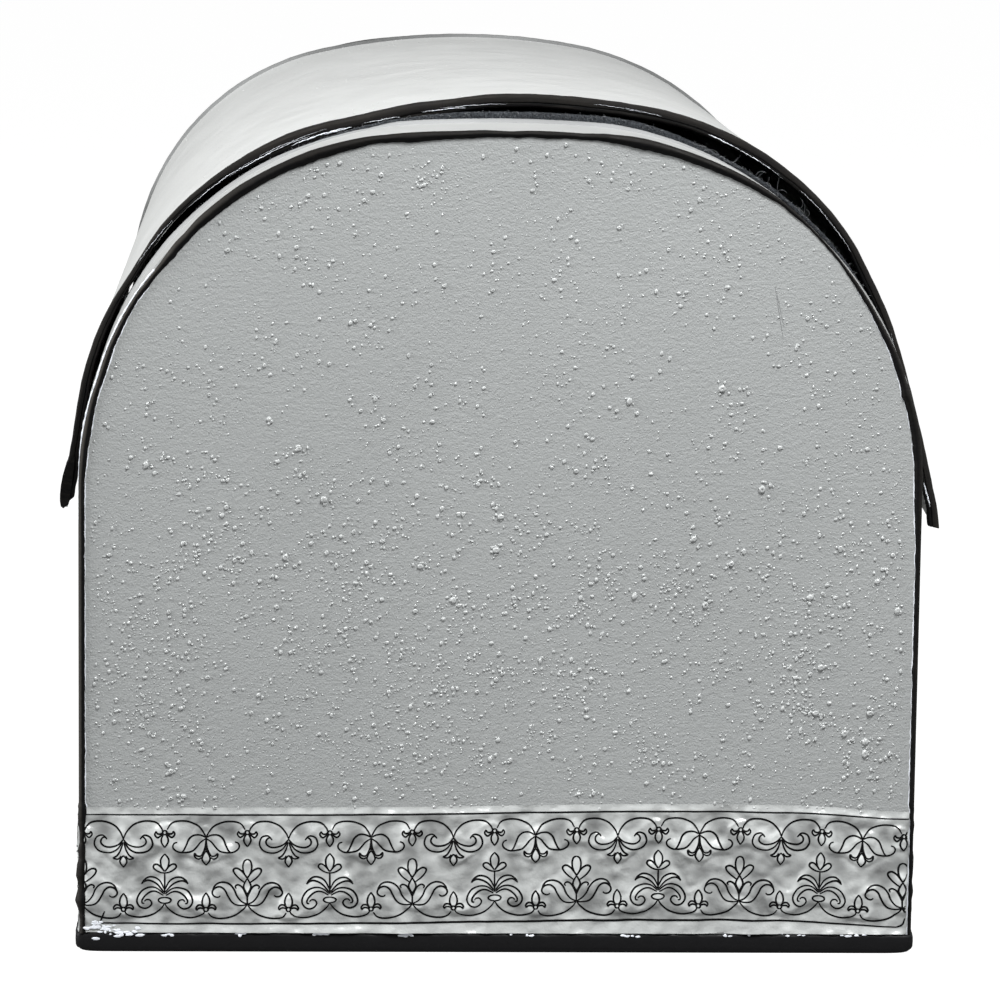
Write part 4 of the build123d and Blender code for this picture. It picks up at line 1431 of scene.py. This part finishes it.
felt_dark, tree, shader = new_material("dark_felt", (0.022, 0.024, 0.027), 0.95, 0.15)
fuzz = ramp(tree, noise(tree, 0.0005, 3), [(0.35, (0.010, 0.011, 0.013)), (0.7, (0.045, 0.05, 0.056))])
tree.links.new(fuzz, shader.inputs["Base Color"])
tree.links.new(bump(tree, noise(tree, 0.0004, 3), 0.0003), shader.inputs["Normal"])
fibre_grey, tree, shader = new_material("loose_fibre", (0.09, 0.095, 0.10), 0.8, 0.2)
tones = ramp(tree, noise(tree, 0.002, 2), [(0.35, (0.05, 0.054, 0.06)), (0.65, (0.14, 0.145, 0.15))])
tree.links.new(tones, shader.inputs["Base Color"])

loose_places = (49, 52, 55, 61, 63.5, 66, 71, 73)
for name, sign, seed, places in (("near", -1, 81, loose_places), ("far", 1, 91, ())):
    shape, line, normal, thick, y_front = felt(sign, seed)
    add_piece(f"{name}_felt", shape, felt_dark, "box", [f"{name}_seat_strip"], sharp=180)
    loose = fibres(line, normal, thick, y_front, sign, seed + 1, 420, places)
    add_piece(f"{name}_felt_fibres", loose, fibre_grey, "box")

# %% [markdown]
# ## Ridge beside the felt
#
# In front of the near felt the pale paint has heaped up in a low ridge, which comes and goes along the
# arch. Its paint is a darker copy of the pale paint, a painted shade on its upturned face. Its height is
# given at a few leans of the outline's normal, as the bead's reach is.

# %% Pale ridge beside the felt
ridge_heights = [(-72, 0.1), (-62, 0.4), (-50, 0.7), (-28, 0.7), (-20, 0.3), (-11, 0.25), (-6, 0.8),
                 (9, 0.8), (20, 0.4), (32, 0.1), (72, 0.1)]


def seat_ridge():
    """Low rounded section in front of the near felt: shares of the ridge's height, along the box."""
    felt_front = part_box("near_seat_strip")[0].y / MM
    along, line, normal, lean = arc_line(900)
    kept = np.abs(lean) < ridge_heights[-1][0]
    along, line, normal, lean = along[kept], line[kept], normal[kept], lean[kept]
    rise = np.interp(lean, *zip(*ridge_heights)) + waves(along, 97, (20, 7, 2.5), 0.05)
    share = np.array([-0.1, 0.5, 0.85, 1.0, 1.0, 0.4, -0.1])
    before = np.array([2.6, 2.2, 1.5, 0.7, -0.4, -0.6, -0.6])
    points = line[:, None] + (0.02 + share[None] * rise[:, None])[..., None] * normal[:, None]
    return tube(placed(points, felt_front - before[None]))


add_piece("near_seat_ridge", seat_ridge(), shaded_ridge_paint, "box")

# %% [markdown]
# ## Finger lip
#
# The lid is lifted by its front edge, where a lip is rolled outwards along the skirt. Seen from the
# near end it is the thick black foot on the left. Its section is a drop that sits on the skirt and is
# carried along the box, wavering a little.

# %% Lip along the front skirt
def finger_lip():
    """Drop section on the outside of the front skirt: heights up the skirt and bulges out from it."""
    y = np.linspace(-lid_end - 0.15, lid_end + 0.15, 121)
    outer, normal = lid_lines(y, rim_proud)
    foot, foot_normal = outer[:, 0], normal[:, 0]
    up = outer[:, 6] - outer[:, 0]
    up /= np.linalg.norm(up, axis=1, keepdims=True)
    height = np.array([12.6, 11.4, 9.6, 7.6, 5.2, 3.0, 1.4, 0.2, -0.3, 1.0, 5.0, 12.6])
    bulge = np.array([0.0, 0.75, 1.4, 1.62, 1.68, 1.55, 1.3, 0.9, 0.2, -0.95, -0.95, -0.6])
    wave = 1 + waves(y, 95, (80, 33, 14), 0.05)
    points = (foot[:, None] + height[None, :, None] * up[:, None]
              + (bulge[None] * wave[:, None])[..., None] * foot_normal[:, None])
    return tube(placed(points, y[:, None])), section_map(y * MM, height * MM)


shape, uv = finger_lip()
add_piece("lid_finger_lip", shape, rim_black, "lid", ["lid_front_lip"], uv)

# %% [markdown]
# ## Light and surroundings
#
# The photograph is a studio shot cut out on white. A soft lamp stands above and before the near end, a
# little to the right and close enough for the panel to darken towards the floor. Two wide ones light
# the long sides from further away, the left one harder. The white round the box is white only for rays
# that come straight from the camera, so it puts no more light on the object.

# %% Stage
def only_for_camera(tree, low, high):
    """high for rays that come straight from the camera and low for all others."""
    path = tree.nodes.new("ShaderNodeLightPath")
    return spread(tree, path.outputs["Is Camera Ray"], low, high, 0, 1)


def add_stage():
    """White surroundings that light the object dimly, and a white floor that takes its shadow."""
    world = bpy.data.worlds.new("surroundings")
    bpy.context.scene.world = world
    world.use_nodes = True
    background = world.node_tree.nodes["Background"]
    background.inputs["Color"].default_value = (1, 1, 1, 1)
    strength = only_for_camera(world.node_tree, world_light, 1.0)
    world.node_tree.links.new(strength, background.inputs["Strength"])
    mesh = bpy.data.meshes.new("floor")
    mesh.from_pydata([(-9, -9, 0), (9, -9, 0), (9, 9, 0), (-9, 9, 0)], [], [(0, 1, 2, 3)])
    floor = bpy.data.objects.new("floor", mesh)
    bpy.context.scene.collection.objects.link(floor)
    material, tree, shader = new_material("white_floor", (0.9, 0.9, 0.9), 0.9, 0.1)
    tree.links.new(only_for_camera(tree, 0.25, 0.9), shader.inputs["Base Color"])
    glow = tree.nodes.new("ShaderNodeEmission")
    glow.inputs["Strength"].default_value = 1.13
    mix = tree.nodes.new("ShaderNodeMixShader")
    tree.links.new(only_for_camera(tree, 0.0, 0.86), mix.inputs["Fac"])
    tree.links.new(shader.outputs[0], mix.inputs[1])
    tree.links.new(glow.outputs[0], mix.inputs[2])
    tree.links.new(mix.outputs[0], tree.nodes["Material Output"].inputs["Surface"])
    floor.data.materials.append(material)


def add_lamp(name, place, target, size, power):
    """Square soft lamp that faces its target."""
    lamp = bpy.data.objects.new(name, bpy.data.lights.new(name, "AREA"))
    lamp.data.energy = power
    lamp.data.size = size
    lamp.location = place
    lamp.rotation_euler = (Vector(target) - Vector(place)).to_track_quat("-Z", "Y").to_euler()
    bpy.context.scene.collection.objects.link(lamp)


world_light = 0.14
bpy.context.scene.view_settings.view_transform = "Standard"
add_stage()
add_lamp("key_lamp", (0.26, -0.60, 0.85), (0, -0.1, 0.1), 0.26, 14.2)
add_lamp("left_lamp", (-1.2, -0.30, 0.55), (0, 0, 0.15), 0.7, 26.0)
add_lamp("right_lamp", (1.2, 0.25, 0.60), (0, 0, 0.15), 0.7, 7.0)

# %% [markdown]
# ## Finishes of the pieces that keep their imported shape
#
# The end panels, the walls and the bands that the lid closes on are right as packed, and so are the
# hinges. They only get their paint or metal.

# %% Assign the finishes
kept_finishes = {"front_wall": pale_paint, "back_wall": pale_paint, "body_leaf_rivets": rivet_steel}
for end in ("near", "far"):
    kept_finishes[f"{end}_end_panel"] = grey_paint
    kept_finishes[f"{end}_arch_band"] = pale_paint
    kept_finishes[f"{end}_hinge_body_leaf"] = hinge_steel
    kept_finishes[f"{end}_hinge_lid_leaf"] = hinge_steel
    kept_finishes[f"{end}_hinge_pin"] = pin_steel
for node, finish in kept_finishes.items():
    slots = nodes[node].data.materials
    if not slots:
        slots.append(finish)
    for k in range(len(slots)):
        slots[k] = finish
print("finished nodes:", len(kept_finishes))
